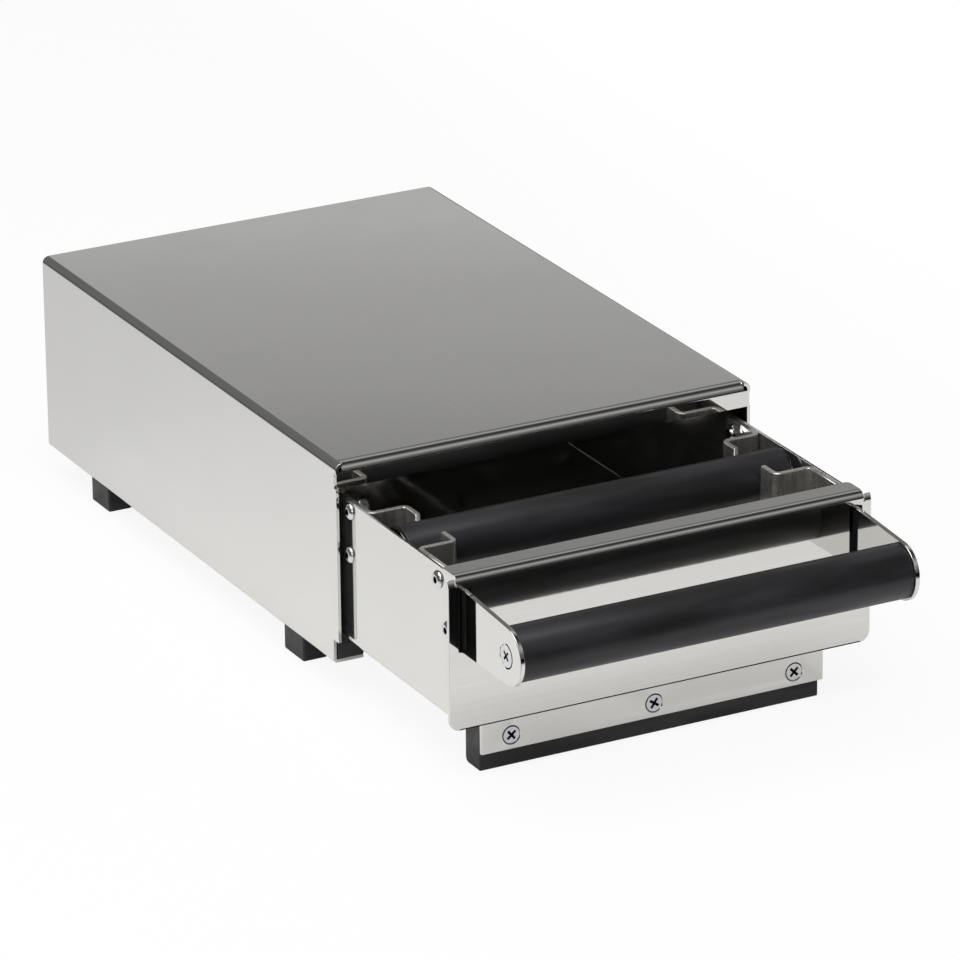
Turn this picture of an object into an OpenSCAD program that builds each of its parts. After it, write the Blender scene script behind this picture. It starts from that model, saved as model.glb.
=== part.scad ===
// Knock box drawer: a folded steel casing stands on rubber feet and a steel drawer slides out
// under its front lip. A rubber knock bar lies loose across the drawer in four brackets.
// The front faces -Y, the table is at zero height, and the drawer stands partly open.

/* [Casing] */
// Width over the casing's sides
casing_w = 250; // [235:1:290]
// Depth from the front edge to the rear flanges
casing_d = 369; // [362:1:400]
// Height from the underside of the bottom flanges to the top
casing_h = 115; // [113:1:130]
// Thickness of the casing's sheet
casing_sheet = 2; // [1.6:0.1:2.2]
// Outer radius of the long top bends and of the lip's bend
casing_bend_r = 4; // [3:0.5:6]
// Outer radius of the bottom flanges' bends
flange_bend_r = 2.5; // [2.3:0.1:3.5]
// Width of each bottom flange
flange_w = 17.7; // [16:0.1:18]
// Height of the lip that is bent down from the top's front edge
lip_h = 14; // [10:0.5:14.5]
// Gap between the lip's ends and the side sheets
lip_end_gap = 0.4; // [0.2:0.1:1]
// Height of the step in each side's front edge
step_h = 14; // [8:1:16]
// Depth of that step
step_d = 6; // [3:1:8]
// Width of the flanges around the open rear
rear_flange_w = 14; // [12:1:18]
// Gap around the rear panel inside the casing
rear_panel_gap = 0.8; // [0.6:0.1:1.2]

/* [Feet and slide strips] */
// Height of the rubber feet
foot_h = 17; // [15:0.5:19]
// Width of a foot across the drawer
foot_w = 14.4; // [12:0.1:15]
// Length of a foot along the drawer
foot_l = 23.2; // [18:0.1:30]
// Distance from the casing's side to a foot's outer face
foot_inset = 4.4; // [3.8:0.1:6]
// Distance from the casing's front edge to the front feet
front_foot_y = 51.2; // [30:0.1:80]
// Distance from the casing's front edge to the rear feet
rear_foot_y = 297; // [250:1:320]
// Depth of the recess that hides a foot's screw head
foot_recess = 6; // [4:0.5:8]
// Width of a slide strip
strip_w = 15.4; // [13:0.1:16]
// Height of a slide strip
strip_h = 12; // [10:0.5:14]
// Gap between a slide strip and the side sheet
strip_gap = 0.6; // [0.5:0.1:1]
// Slope cut off a slide strip's front upper edge
strip_slope = 4.3; // [2:0.1:6]

/* [Drawer] */
// How far the drawer stands open
drawer_open = 123; // [0:1:200]
// Gap between the closed front panel and the casing
closed_gap = 1.5; // [1.4:0.1:4]
// Gap between a drawer side and the casing's side
side_gap = 3.7; // [3.7:0.1:5]
// Thickness of the drawer's sheet
tray_sheet = 1.5; // [1.2:0.1:1.8]
// Height of the drawer's walls
wall_h = 80.5; // [78:0.5:82]
// Length of the drawer's side walls
tray_l = 355.5; // [350:0.5:356]
// Outer radius of the drawer's long bottom bends
tray_bend_r = 2; // [1.9:0.1:3]
// Distance from the front panel to the stop tabs
tab_y = 230.5; // [190:0.5:260]
// Length of a stop tab
tab_l = 24; // [14:1:36]
// Height of a stop tab above the walls
tab_h = 14.5; // [9:0.5:15]

/* [Front panel] */
// Thickness of the front panel
panel_sheet = 2; // [1.6:0.1:2.4]
// How far the front panel hangs below the drawer's floor
panel_drop = 3; // [1:0.5:6]
// Outer radius of the front panel's top bend
panel_bend_r = 6; // [4:0.5:7]
// Depth of the flange on top, from the panel's face
panel_flange_d = 15.5; // [12:0.5:18]
// Radius of the front panel's lower corners
panel_corner_r = 6; // [2:0.5:10]
// Radius of the top flange's rear corners
panel_flange_corner_r = 2.5; // [1:0.5:5]
// Width of the partly bent edges outside the top flange
panel_margin = 4.5; // [4:0.1:6]
// Angle through which those edges are bent
margin_angle = 42; // [20:1:44]
// Width of the slits beside the top flange
slit_w = 0.5; // [0.3:0.1:0.8]
// Gap between the top bend and the drawer's walls
bend_gap = 0.3; // [0.2:0.1:0.6]

/* [Handle] */
// Distance from the front panel's ends to the handle plates' outer faces
plate_inset = 8; // [7:0.5:20]
// Thickness of a handle plate
plate_sheet = 2.5; // [2:0.1:4]
// Distance from the front panel's face to the handle's foremost point
handle_reach = 62.8; // [52:0.1:80]
// Radius of a handle plate's rounded front end
nose_r = 16; // [15.2:0.1:18]
// Height of the grip's axis above the drawer's floor underside
nose_z = 55.6; // [50:0.1:58]
// Height of a handle plate's upper corner above the drawer's floor underside
root_top_z = 74.8; // [72:0.1:76]
// Length of a handle plate's tenons
tenon_l = 9; // [5:0.5:12]
// Length of a grip screw's thread in the rod
grip_thread_l = 12; // [8:0.5:20]
// Diameter of the rubber grip
grip_d = 29.6; // [24:0.1:30]
// Diameter of the steel rod inside the grip
grip_rod_d = 16; // [12:0.5:20]

/* [Knock bar] */
// Diameter of the knock bar
bar_d = 28; // [26:0.5:30]
// Gap between the knock bar's ends and the drawer's walls
bar_end_gap = 2.3; // [1:0.1:4]
// Distance from the front panel's back to the bar's axis
bar_y = 74; // [60:0.5:100]
// Height of the bar's axis above the drawer's floor underside
bar_z = 67.7; // [66:0.1:69]
// Thickness of the bar's rubber sleeve
bar_rubber = 4; // [2:0.5:5]
// Thickness of the steel tube inside the sleeve
bar_tube = 2; // [1:0.5:3]
// Thickness of an end cap's disc
cap_disc = 1.5; // [1:0.1:2.5]
// Length of an end cap's plug
cap_plug = 8; // [4:0.5:12]

/* [Brackets] */
// Thickness of the brackets' plate
bracket_sheet = 3; // [2.5:0.1:3.5]
// Height of the brackets
bracket_h = 41.5; // [38:0.5:43]
// Outer radius of the brackets' bends
bracket_bend_r = 4.5; // [3.6:0.1:6]
// Distance from the bar's axis to a bracket's web
web_gap = 26; // [23:0.5:28]
// Distance from the drawer's wall to a bracket's seat
seat_inset = 23.8; // [20:0.1:28]
// Gap between the bar and its seats
seat_gap = 0.25; // [0.2:0.05:0.3]
// Gap between the front and rear seats below the bar
seat_split = 4; // [2:0.5:8]
// Length of a front bracket's wall flange
front_flange_l = 41; // [40:0.5:41]
// Length of a rear bracket's wall flange
rear_flange_l = 32.5; // [30:0.5:50]
// Distance from the bar's axis to a front bracket's upper screw
front_upper_screw_y = 54; // [44:0.1:60]
// Distance from the bar's axis to a front bracket's lower screw
front_lower_screw_y = 64.5; // [44:0.1:64.5]
// Distance from the bar's axis to a rear bracket's upper screw
rear_upper_screw_y = 45.6; // [40:0.1:50]
// Distance from the bar's axis to a rear bracket's lower screw
rear_lower_screw_y = 46.5; // [40:0.1:50]
// Depth of a front bracket's upper screw below the drawer's top edge
front_upper_screw_drop = 7.5; // [5:0.1:12]
// Depth of a front bracket's lower screw below the drawer's top edge
front_lower_screw_drop = 31.8; // [26:0.1:34]
// Depth of a rear bracket's upper screw below the drawer's top edge
rear_upper_screw_drop = 5.2; // [5:0.1:12]
// Depth of a rear bracket's lower screw below the drawer's top edge
rear_lower_screw_drop = 29.8; // [26:0.1:34]

/* [Apron] */
// Sideways gap between the left feet and the steel strip below the front panel
apron_left_gap = 0.4; // [0.3:0.1:20]
// Sideways gap between the right feet and that strip
apron_right_gap = 8.5; // [0.3:0.1:20]
// Thickness of that strip, which also spaces the front panel
apron_sheet = 2; // [1.6:0.1:2.4]
// Height of the strip's lower edge above the table
apron_low_z = 10.5; // [6:0.5:16]
// Height of the strip
apron_h = 49.5; // [46:0.5:60]
// How much shorter the rubber block is at its right end
block_short = 1.7; // [0:0.1:4]
// Depth of the rubber block
block_d = 16; // [12:0.5:20]
// Gap between the rubber block and the table
block_gap = 0.5; // [0.5:0.1:2]
// Radius of the rubber block's lower rear edge
block_edge_r = 3; // [1:0.5:5]
// Height of the apron's screws above the table
apron_screw_z = 18.3; // [16:0.1:20]
// Distance from the strip's ends to its outer screws and studs
apron_screw_inset = 17.5; // [8:0.5:30]
// Height of the front panel's studs above the drawer's floor underside
stud_z = 15; // [12:0.5:18]

/* [Screws and nuts] */
// Diameter of the small screws
small_screw_d = 4; // [3.5:0.1:4.5]
// Diameter of the medium screws
medium_screw_d = 5; // [4.5:0.1:5.5]
// Diameter of the large screws
large_screw_d = 6; // [5.5:0.1:6.5]
// Width of the small nuts over the flats
small_nut_w = 7; // [6.5:0.1:7.5]
// Width of the medium nuts over the flats
medium_nut_w = 8; // [7.5:0.1:8.5]
// Width of the large nuts over the flats
large_nut_w = 10; // [9.5:0.1:10.3]
// Height of the small nuts
small_nut_h = 3.2; // [2.8:0.1:3.6]
// Height of the medium nuts
medium_nut_h = 4; // [3.5:0.1:4.5]
// Height of the large nuts
large_nut_h = 5; // [4.5:0.1:5.5]
// Diameter of the small round heads
small_head_d = 7.6; // [7:0.1:8]
// Diameter of the large round heads
large_head_d = 9.6; // [9.2:0.1:10.5]
// Height of the small round heads
small_head_h = 2.2; // [2:0.1:2.6]
// Height of the large round heads
large_head_h = 1.9; // [1.8:0.1:3.3]
// Width of the six-sided sockets in the small round heads
small_socket_w = 2.5; // [2:0.1:3]
// Width of the six-sided sockets in the large round heads
large_socket_w = 3.3; // [3:0.1:4.5]
// Depth of the sockets and of the cross recesses
socket_depth = 1.5; // [1:0.1:1.6]
// Diameter of the apron screws' flat heads
apron_head_d = 10.4; // [9:0.1:11]
// Diameter of the grip screws' flat heads
grip_head_d = 13.4; // [12:0.1:13.6]
// Length of a cross recess
cross_l = 6; // [4:0.1:6.2]
// Width of a cross recess
cross_w = 1.2; // [0.8:0.1:1.6]
// How far a screw reaches past its nut
thread_end = 1; // [0.5:0.1:2]
// Radial play of a screw in a plain hole
hole_play = 0.2; // [0.15:0.05:0.4]
// Radial play of a fitted or threaded part
fit_play = 0.05; // [0.03:0.01:0.08]
// Extra length of every cut past the surface it opens
overrun = 2; // [1:0.5:3]

/* [Hidden] */
$fn = 64;
small = 0;
medium = 1;
large = 2;
screw_d = [small_screw_d, medium_screw_d, large_screw_d];
nut_w = [small_nut_w, medium_nut_w, large_nut_w];
nut_h = [small_nut_h, medium_nut_h, large_nut_h];
// Share of a round head's diameter that is left at its top
head_top_share = 0.66;
steel = [0.78, 0.79, 0.80];
bright_steel = [0.86, 0.86, 0.87];
rubber = [0.12, 0.12, 0.13];
plastic = [0.08, 0.08, 0.09];

casing_z = foot_h;
casing_top = casing_z + casing_h;
casing_inner_w = casing_w - 2 * casing_sheet;
flange_edge_x = casing_w / 2 - flange_w;
rear_flange_y = casing_d - casing_sheet;
rear_panel_y = rear_flange_y - casing_sheet;
strip_z = casing_z + casing_sheet;
strip_x = casing_inner_w / 2 - strip_gap - strip_w;
strip_end_y = rear_panel_y - rear_panel_gap;
foot_x = casing_w / 2 - foot_inset - foot_w;
foot_y = [front_foot_y, rear_foot_y];

tray_w = casing_inner_w - 2 * side_gap;
tray_inner_w = tray_w - 2 * tray_sheet;
tray_z = strip_z + strip_h;
tray_top = tray_z + wall_h;
front_wall_y = apron_sheet;
panel_low_z = tray_z - panel_drop;
panel_top_z = tray_top + panel_sheet;
panel_bend_z = panel_top_z - panel_bend_r;
panel_bend_y = panel_bend_r - panel_sheet;
panel_flange_w = casing_w - 2 * panel_margin;
panel_flange_y = panel_flange_d - panel_sheet;

nose_y = nose_r - panel_sheet - handle_reach;
grip_z = tray_z + nose_z;
plate_low_z = grip_z - nose_r;
plate_root_z = tray_z + root_top_z;
handle_w = casing_w - 2 * plate_inset;
grip_l = handle_w - 2 * plate_sheet;
root_run = -panel_sheet - nose_y;
root_rise = plate_root_z - grip_z;
tangent_angle = atan2(root_rise, root_run) + acos(nose_r / norm([root_run, root_rise]));
tenon_z = [plate_low_z + tenon_l, plate_root_z - tenon_l];
grip_hole_depth = grip_thread_l + screw_d[large];

bar_axis_z = tray_z + bar_z;
bar_tube_d = bar_d - 2 * bar_rubber;
bar_bore_d = bar_tube_d - 2 * bar_tube;
bar_tube_l = tray_inner_w - 2 * bar_end_gap - 2 * cap_disc;
seat_r = bar_d / 2 + seat_gap;
bracket_x = tray_inner_w / 2;
seat_x = bracket_x - seat_inset;
bracket_bottom = tray_top - bracket_h;
web_far = web_gap + bracket_sheet;

apron_left = foot_x - apron_left_gap;
apron_right = foot_x - apron_right_gap;
apron_w = apron_left + apron_right;
first_screw_x = apron_screw_inset - apron_left;
screw_row_w = apron_w - 2 * apron_screw_inset;
apron_screw_x = [for (i = [0 : 2]) first_screw_x + screw_row_w * i / 2];
stud_x = [for (i = [0 : 3]) first_screw_x + screw_row_w * i / 3];
block_back_y = front_wall_y + block_d;
stud_height = tray_z + stud_z;

drawer_y = -drawer_open - closed_gap;
front_end = drawer_y + nose_y - nose_r;
rear_end = casing_d + small_head_h;
middle_y = (front_end + rear_end) / 2;
// Shares of the casing's height at which the rear panel's side screws stand
side_screw_shares = [0.2, 0.7];
// Share of the casing's width between the middle and a top screw
top_screw_share = 0.22;
// Share of a rear flange's width between its outer edge and its screws
flange_screw_share = 0.6;
rear_screw_inset = rear_flange_w * flange_screw_share;
rear_screw_xz = concat(
    [for (side = [-1, 1], share = side_screw_shares)
        [side * (casing_w / 2 - rear_screw_inset), casing_z + casing_h * share]],
    [for (side = [-1, 1]) [side * casing_w * top_screw_share, casing_top - rear_screw_inset]]);
// Share of a slide strip's height that its screw holes take, and that the screws fill
strip_hole_share = 0.8;
strip_thread_share = 0.6;
// Share of a stop tab's length that its rear slope takes
tab_slope_share = 0.4;

// Places a piece that was drawn with the casing's front edge at zero
module in_casing() {
    translate([0, -middle_y, 0]) children();
}

// Places a piece that was drawn with the front panel's back at zero
module in_drawer() {
    translate([0, drawer_y - middle_y, 0]) children();
}

// Turns a drawing of x and z into a solid that runs back from y
module along_y(y, length) {
    translate([0, y + length, 0]) rotate([90, 0, 0]) linear_extrude(length) children();
}

// Turns a drawing of y and z into a solid that runs right from x
module along_x(x, length) {
    translate([x, 0, 0]) rotate([90, 0, 90]) linear_extrude(length) children();
}

// A round bar that runs back from y
module rod_y(d, y, length) {
    translate([0, y, 0]) rotate([-90, 0, 0]) cylinder(d = d, h = length);
}

// A round bar that runs right from x
module rod_x(d, x, length) {
    translate([x, 0, 0]) rotate([0, 90, 0]) cylinder(d = d, h = length);
}

// A rectangle centred on x = 0 that stands on zero, with both lower corners rounded
module low_round(w, h, r) {
    translate([-w / 2, r]) square([w, h - r]);
    translate([r - w / 2, 0]) square([w - 2 * r, r]);
    for (side = [-1, 1]) translate([side * (w / 2 - r), r]) circle(r);
}

// The quarter of a bend of a sheet that lies toward +x and +y of its centre
module quarter_bend(r, sheet) {
    intersection() {
        difference() {
            circle(r);
            circle(r - sheet);
        }
        square(r);
    }
}

// A six-sided bar that runs back from zero, with two flats upright
module hex_y(w, length) {
    rotate([-90, 0, 0]) rotate([0, 0, 30]) cylinder(d = w / cos(30), h = length, $fn = 6);
}

// A six-sided nut whose face is at zero and which runs back
module nut_y(size) {
    difference() {
        hex_y(nut_w[size], nut_h[size]);
        rod_y(screw_d[size] + 2 * fit_play, -overrun, nut_h[size] + 2 * overrun);
    }
}

// A round-headed screw whose head seats at zero and whose shank runs back
module round_screw(size, length) {
    head_d = size == small ? small_head_d : large_head_d;
    head_h = size == small ? small_head_h : large_head_h;
    socket_w = size == small ? small_socket_w : large_socket_w;
    difference() {
        union() {
            rotate([90, 0, 0]) cylinder(d1 = head_d, d2 = head_d * head_top_share, h = head_h);
            rod_y(screw_d[size], 0, length);
        }
        translate([0, -head_h - overrun, 0]) hex_y(socket_w, socket_depth + overrun);
    }
}

// A flat-headed screw whose head is flush at zero and whose shank runs back
module flat_screw(size, head_d, head_depth, length) {
    difference() {
        union() {
            rotate([-90, 0, 0]) cylinder(d1 = head_d, d2 = head_d - 2 * head_depth, h = head_depth);
            rod_y(screw_d[size], 0, length);
        }
        for (turn = [0, 90]) rotate([0, turn, 0])
            translate([-cross_l / 2, -overrun, -cross_w / 2])
                cube([cross_l, socket_depth + overrun, cross_w]);
    }
}

// The cut for a flat-headed screw's head and shank
module flat_screw_cut(size, head_d, head_depth, length) {
    play = 2 * hole_play;
    rotate([-90, 0, 0]) cylinder(d1 = head_d + play, d2 = head_d - 2 * head_depth + play,
        h = head_depth);
    rod_y(head_d + play, -overrun, overrun);
    rod_y(screw_d[size] + play, 0, length);
}

// The casing's outline, drawn smaller all round by an inset
module casing_outline(inset) {
    w = casing_w - 2 * inset;
    h = casing_h - 2 * inset;
    translate([0, casing_z + inset]) intersection() {
        low_round(w, h, flange_bend_r - inset);
        translate([0, h]) mirror([0, 1]) low_round(w, h, casing_bend_r - inset);
    }
}

// The casing's wrap of two sides, top and bottom flanges
module casing_wrap() {
    difference() {
        along_y(0, casing_d) difference() {
            casing_outline(0);
            casing_outline(casing_sheet);
            translate([-flange_edge_x, casing_z - overrun])
                square([2 * flange_edge_x, casing_sheet + 2 * overrun]);
        }
        translate([casing_bend_r - casing_w / 2, -overrun, casing_top - casing_sheet - overrun])
            cube([casing_w - 2 * casing_bend_r, casing_bend_r + overrun,
                casing_sheet + 2 * overrun]);
        translate([-casing_w, -overrun, casing_z - overrun])
            cube([2 * casing_w, step_d + overrun, step_h + overrun]);
    }
}

// The lip bent down from the top's front edge
module casing_lip() {
    bend_w = casing_w - 2 * casing_bend_r;
    lip_w = casing_inner_w - 2 * lip_end_gap;
    along_x(-bend_w / 2, bend_w) translate([casing_bend_r, casing_top - casing_bend_r])
        mirror([1, 0]) quarter_bend(casing_bend_r, casing_sheet);
    translate([-lip_w / 2, 0, casing_top - lip_h])
        cube([lip_w, casing_sheet, lip_h - casing_bend_r]);
}

// The flanges that frame the open rear
module casing_rear_flanges() {
    window_w = casing_w - 2 * rear_flange_w;
    difference() {
        along_y(rear_flange_y, casing_sheet) difference() {
            casing_outline(0);
            translate([-window_w / 2, casing_z - overrun])
                square([window_w, casing_h - rear_flange_w + overrun]);
        }
        at_rear_screws() rod_y(screw_d[small] + 2 * hole_play, rear_flange_y - overrun,
            casing_sheet + 2 * overrun);
    }
}

module at_rear_screws() {
    for (xz = rear_screw_xz) translate([xz[0], 0, xz[1]]) children();
}

module at_feet() {
    for (side = [-1, 1], y = foot_y)
        translate([side * (foot_x + foot_w / 2), y + foot_l / 2, 0]) children();
}

module casing_shell() {
    color(steel) in_casing() difference() {
        union() {
            casing_wrap();
            casing_lip();
            casing_rear_flanges();
        }
        at_feet() translate([0, 0, casing_z - overrun])
            cylinder(d = screw_d[small] + 2 * hole_play, h = casing_sheet + 2 * overrun);
    }
}

module rear_panel() {
    gap = casing_sheet + rear_panel_gap;
    color(steel) in_casing() difference() {
        along_y(rear_panel_y, casing_sheet) translate([0, casing_z + gap])
            square_plate(casing_w - 2 * gap, casing_h - 2 * gap, casing_bend_r - casing_sheet);
        at_rear_screws() rod_y(screw_d[small] + 2 * hole_play, rear_panel_y - overrun,
            casing_sheet + 2 * overrun);
    }
}

// A rectangle that stands on zero with its upper corners rounded
module square_plate(w, h, r) {
    translate([0, h]) mirror([0, 1]) low_round(w, h, r);
}

module rear_panel_screws() {
    color(bright_steel) in_casing() at_rear_screws() translate([0, casing_d, 0]) mirror([0, 1, 0])
        round_screw(small, 2 * casing_sheet + nut_h[small] + thread_end);
}

module rear_panel_nuts() {
    color(bright_steel) in_casing() at_rear_screws() translate([0, rear_panel_y, 0])
        mirror([0, 1, 0]) nut_y(small);
}

module slide_strip(side) {
    foot_screw_d = screw_d[small] + 2 * fit_play;
    color(plastic) in_casing() difference() {
        along_x(side > 0 ? strip_x : -strip_x - strip_w, strip_w) polygon([
            [step_d, strip_z], [strip_end_y, strip_z], [strip_end_y, strip_z + strip_h],
            [step_d + strip_slope, strip_z + strip_h], [step_d, strip_z + strip_h - strip_slope]]);
        at_feet() translate([0, 0, strip_z - overrun])
            cylinder(d = foot_screw_d, h = strip_h * strip_hole_share + overrun);
    }
}

module left_slide_strip() { slide_strip(-1); }
module right_slide_strip() { slide_strip(1); }

module foot(side, y) {
    color(rubber) in_casing() translate([side * (foot_x + foot_w / 2), y + foot_l / 2, 0])
        difference() {
            translate([-foot_w / 2, -foot_l / 2, 0]) cube([foot_w, foot_l, foot_h]);
            translate([0, 0, -overrun])
                cylinder(d = small_head_d + 2 * hole_play, h = foot_recess + overrun);
            translate([0, 0, -overrun])
                cylinder(d = screw_d[small] + 2 * hole_play, h = foot_h + 2 * overrun);
        }
}

module front_left_foot() { foot(-1, front_foot_y); }
module front_right_foot() { foot(1, front_foot_y); }
module rear_left_foot() { foot(-1, rear_foot_y); }
module rear_right_foot() { foot(1, rear_foot_y); }

module foot_screws() {
    length = foot_h - foot_recess + casing_sheet + strip_h * strip_thread_share;
    color(bright_steel) in_casing() at_feet() translate([0, 0, foot_recess]) rotate([90, 0, 0])
        round_screw(small, length);
}

// The places of the bracket screws, on the inner face of the right wall
function screw_places() = concat(
    [[bar_y - front_upper_screw_y, tray_top - front_upper_screw_drop],
        [bar_y - front_lower_screw_y, tray_top - front_lower_screw_drop]],
    [[bar_y + rear_upper_screw_y, tray_top - rear_upper_screw_drop],
        [bar_y + rear_lower_screw_y, tray_top - rear_lower_screw_drop]]);

// Puts a piece that runs back from zero onto both walls, so that it runs inward from them
module at_bracket_screws() {
    for (side = [-1, 1], yz = screw_places())
        translate([side * tray_w / 2, yz[0], yz[1]]) rotate([0, 0, side * 90]) children();
}

// The folded tray's floor and sides, with its front and rear walls
module tray_folds() {
    inner_r = tray_bend_r - tray_sheet;
    difference() {
        along_y(0, tray_l) low_round(tray_w, wall_h, tray_bend_r);
        along_y(front_wall_y + tray_sheet, tray_l - front_wall_y - 2 * tray_sheet)
            translate([0, tray_sheet]) low_round(tray_inner_w, wall_h, inner_r);
        translate([-tray_inner_w / 2, -overrun, -overrun])
            cube([tray_inner_w, front_wall_y + overrun, wall_h + 2 * overrun]);
    }
}

// One stop tab's outline, upright on the wall's top edge
module tab_outline() {
    slope = tab_l * tab_slope_share;
    polygon([[tab_y, 0], [tab_y + tab_l, 0], [tab_y + tab_l - slope, tab_h], [tab_y, tab_h]]);
}

module drawer_tray() {
    stud_hole_d = screw_d[medium] + 2 * hole_play;
    color(steel) in_drawer() difference() {
        union() {
            translate([0, 0, tray_z]) tray_folds();
            for (x = [-tray_w / 2, tray_inner_w / 2])
                along_x(x, tray_sheet) translate([0, tray_top]) tab_outline();
        }
        at_bracket_screws() rod_y(screw_d[large] + 2 * hole_play, -overrun,
            tray_sheet + 2 * overrun);
        at_studs() rod_y(stud_hole_d, front_wall_y - overrun, tray_sheet + 2 * overrun);
        along_x(-tray_w, 2 * tray_w) bend_corner();
    }
}

// The corner that the walls leave free for the front panel's top bend, seen from the side
module bend_corner() {
    translate([panel_bend_y, panel_bend_z]) difference() {
        translate([-panel_bend_r, 0]) square(panel_bend_r);
        circle(panel_bend_r - panel_sheet - bend_gap);
    }
}

module at_studs() {
    for (x = stud_x) translate([x, 0, stud_height]) children();
}

// The flat face of the front panel up to its bends
module panel_face() {
    along_y(-panel_sheet, panel_sheet) translate([0, panel_low_z])
        low_round(casing_w, panel_bend_z - panel_low_z, panel_corner_r);
}

// The flange bent back over the drawer's top edges
module panel_top_flange() {
    reach = panel_flange_y - panel_bend_y;
    along_x(-panel_flange_w / 2, panel_flange_w) translate([panel_bend_y, panel_bend_z])
        mirror([1, 0]) quarter_bend(panel_bend_r, panel_sheet);
    translate([0, panel_flange_y, tray_top]) linear_extrude(panel_sheet) mirror([0, 1])
        low_round(panel_flange_w, reach, panel_flange_corner_r);
}

// The partly bent edges at both ends of the front panel
module panel_margins() {
    far = 2 * panel_bend_r;
    margin_w = panel_margin - slit_w;
    for (x = [-casing_w / 2, casing_w / 2 - margin_w])
        along_x(x, margin_w) translate([panel_bend_y, panel_bend_z]) intersection() {
            difference() {
                circle(panel_bend_r);
                circle(panel_bend_r - panel_sheet);
            }
            polygon([[0, 0], [-far, 0], [-far, far * tan(margin_angle)]]);
        }
}

module front_panel() {
    color(steel) in_drawer() difference() {
        union() {
            panel_face();
            panel_top_flange();
            panel_margins();
        }
        for (side = [-1, 1]) along_plate(side, overrun) tenon_outlines(fit_play);
    }
}

// Turns a drawing of y and z into a solid as thick as a handle plate
module along_plate(side, play) {
    grow = play == 0 ? 0 : fit_play;
    x = side > 0 ? grip_l / 2 : -handle_w / 2;
    along_x(x - grow, plate_sheet + 2 * grow) children();
}

// The tenons that pass through the front panel
module tenon_outlines(play) {
    cut = play == 0 ? 0 : overrun;
    for (z = tenon_z) translate([-panel_sheet - cut, z - tenon_l / 2 - play])
        square([panel_sheet + 2 * cut, tenon_l + 2 * play]);
}

// A handle plate's outline, with a level lower edge and a sloping upper edge
module plate_outline() {
    tangent = [nose_y - nose_r * cos(tangent_angle), grip_z + nose_r * sin(tangent_angle)];
    translate([nose_y, grip_z]) circle(nose_r);
    polygon([[-panel_sheet, plate_low_z], [-panel_sheet, plate_root_z],
        [nose_y + nose_r * cos(tangent_angle), grip_z + nose_r * sin(tangent_angle)],
        [nose_y, grip_z], [nose_y, plate_low_z]]);
}

module handle_plate(side) {
    color(steel) in_drawer() difference() {
        union() {
            along_plate(side, 0) plate_outline();
            along_plate(side, 0) tenon_outlines(0);
        }
        at_grip_end(side) flat_screw_cut(large, grip_head_d, plate_sheet, plate_sheet + overrun);
    }
}

// Puts a piece that runs back from zero at a handle plate's outer face, so that it runs inward
module at_grip_end(side) {
    translate([side * handle_w / 2, nose_y, grip_z]) rotate([0, 0, side * 90]) children();
}

module left_handle_plate() { handle_plate(-1); }
module right_handle_plate() { handle_plate(1); }

module grip_rod() {
    color(steel) in_drawer() difference() {
        translate([0, nose_y, grip_z]) rod_x(grip_rod_d, -grip_l / 2, grip_l);
        for (side = [-1, 1]) at_grip_end(side) rod_y(screw_d[large] + 2 * fit_play, 0,
            plate_sheet + grip_hole_depth);
    }
}

module grip_sleeve() {
    bore = grip_rod_d + 2 * fit_play;
    color(rubber) in_drawer() translate([0, nose_y, grip_z]) difference() {
        rod_x(grip_d, -grip_l / 2, grip_l);
        rod_x(bore, -grip_l / 2 - overrun, grip_l + 2 * overrun);
    }
}

module grip_screws() {
    color(bright_steel) in_drawer() for (side = [-1, 1]) at_grip_end(side)
        flat_screw(large, grip_head_d, plate_sheet, plate_sheet + grip_thread_l);
}

// A bracket's folds seen from above: wall flange, web and seat, for the right rear corner
module bracket_plan(flange_l) {
    r = bracket_bend_r;
    inner = r - bracket_sheet;
    translate([bracket_x - bracket_sheet, web_gap + r])
        square([bracket_sheet, flange_l - r]);
    translate([bracket_x - r, web_gap + r]) mirror([0, 1]) quarter_bend(r, bracket_sheet);
    translate([seat_x + r, web_gap]) square([seat_inset - 2 * r, bracket_sheet]);
    translate([seat_x + r, web_far - r]) mirror([1, 0]) quarter_bend(r, bracket_sheet);
    translate([seat_x, seat_split / 2]) square([bracket_sheet, web_far - r - seat_split / 2]);
}

// The round seat and the open way above it, seen from the side
module seat_cut() {
    translate([0, bar_axis_z]) circle(seat_r);
    translate([-seat_r, bar_axis_z]) square([2 * seat_r, wall_h]);
}

// One bracket, with the bar's axis at y = 0
module bracket(side, back, flange_l) {
    color(bright_steel) in_drawer() difference() {
        translate([0, bar_y, 0]) mirror([side < 0 ? 1 : 0, 0, 0]) mirror([0, back < 0 ? 1 : 0, 0])
            difference() {
                translate([0, 0, bracket_bottom]) linear_extrude(bracket_h)
                    bracket_plan(flange_l);
                along_x(seat_x - overrun, bracket_sheet + 2 * overrun) seat_cut();
            }
        at_bracket_screws() rod_y(screw_d[large] + 2 * hole_play, -overrun,
            tray_sheet + bracket_sheet + 2 * overrun);
    }
}

module front_left_bracket() { bracket(-1, -1, front_flange_l); }
module front_right_bracket() { bracket(1, -1, front_flange_l); }
module rear_left_bracket() { bracket(-1, 1, rear_flange_l); }
module rear_right_bracket() { bracket(1, 1, rear_flange_l); }

module bracket_screws() {
    stack = tray_sheet + bracket_sheet + nut_h[large];
    color(bright_steel) in_drawer() at_bracket_screws() round_screw(large, stack + thread_end);
}

module bracket_nuts() {
    color(bright_steel) in_drawer() at_bracket_screws()
        translate([0, tray_sheet + bracket_sheet, 0]) nut_y(large);
}

module at_apron_screws() {
    for (x = apron_screw_x) translate([x, 0, apron_screw_z]) children();
}

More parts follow.
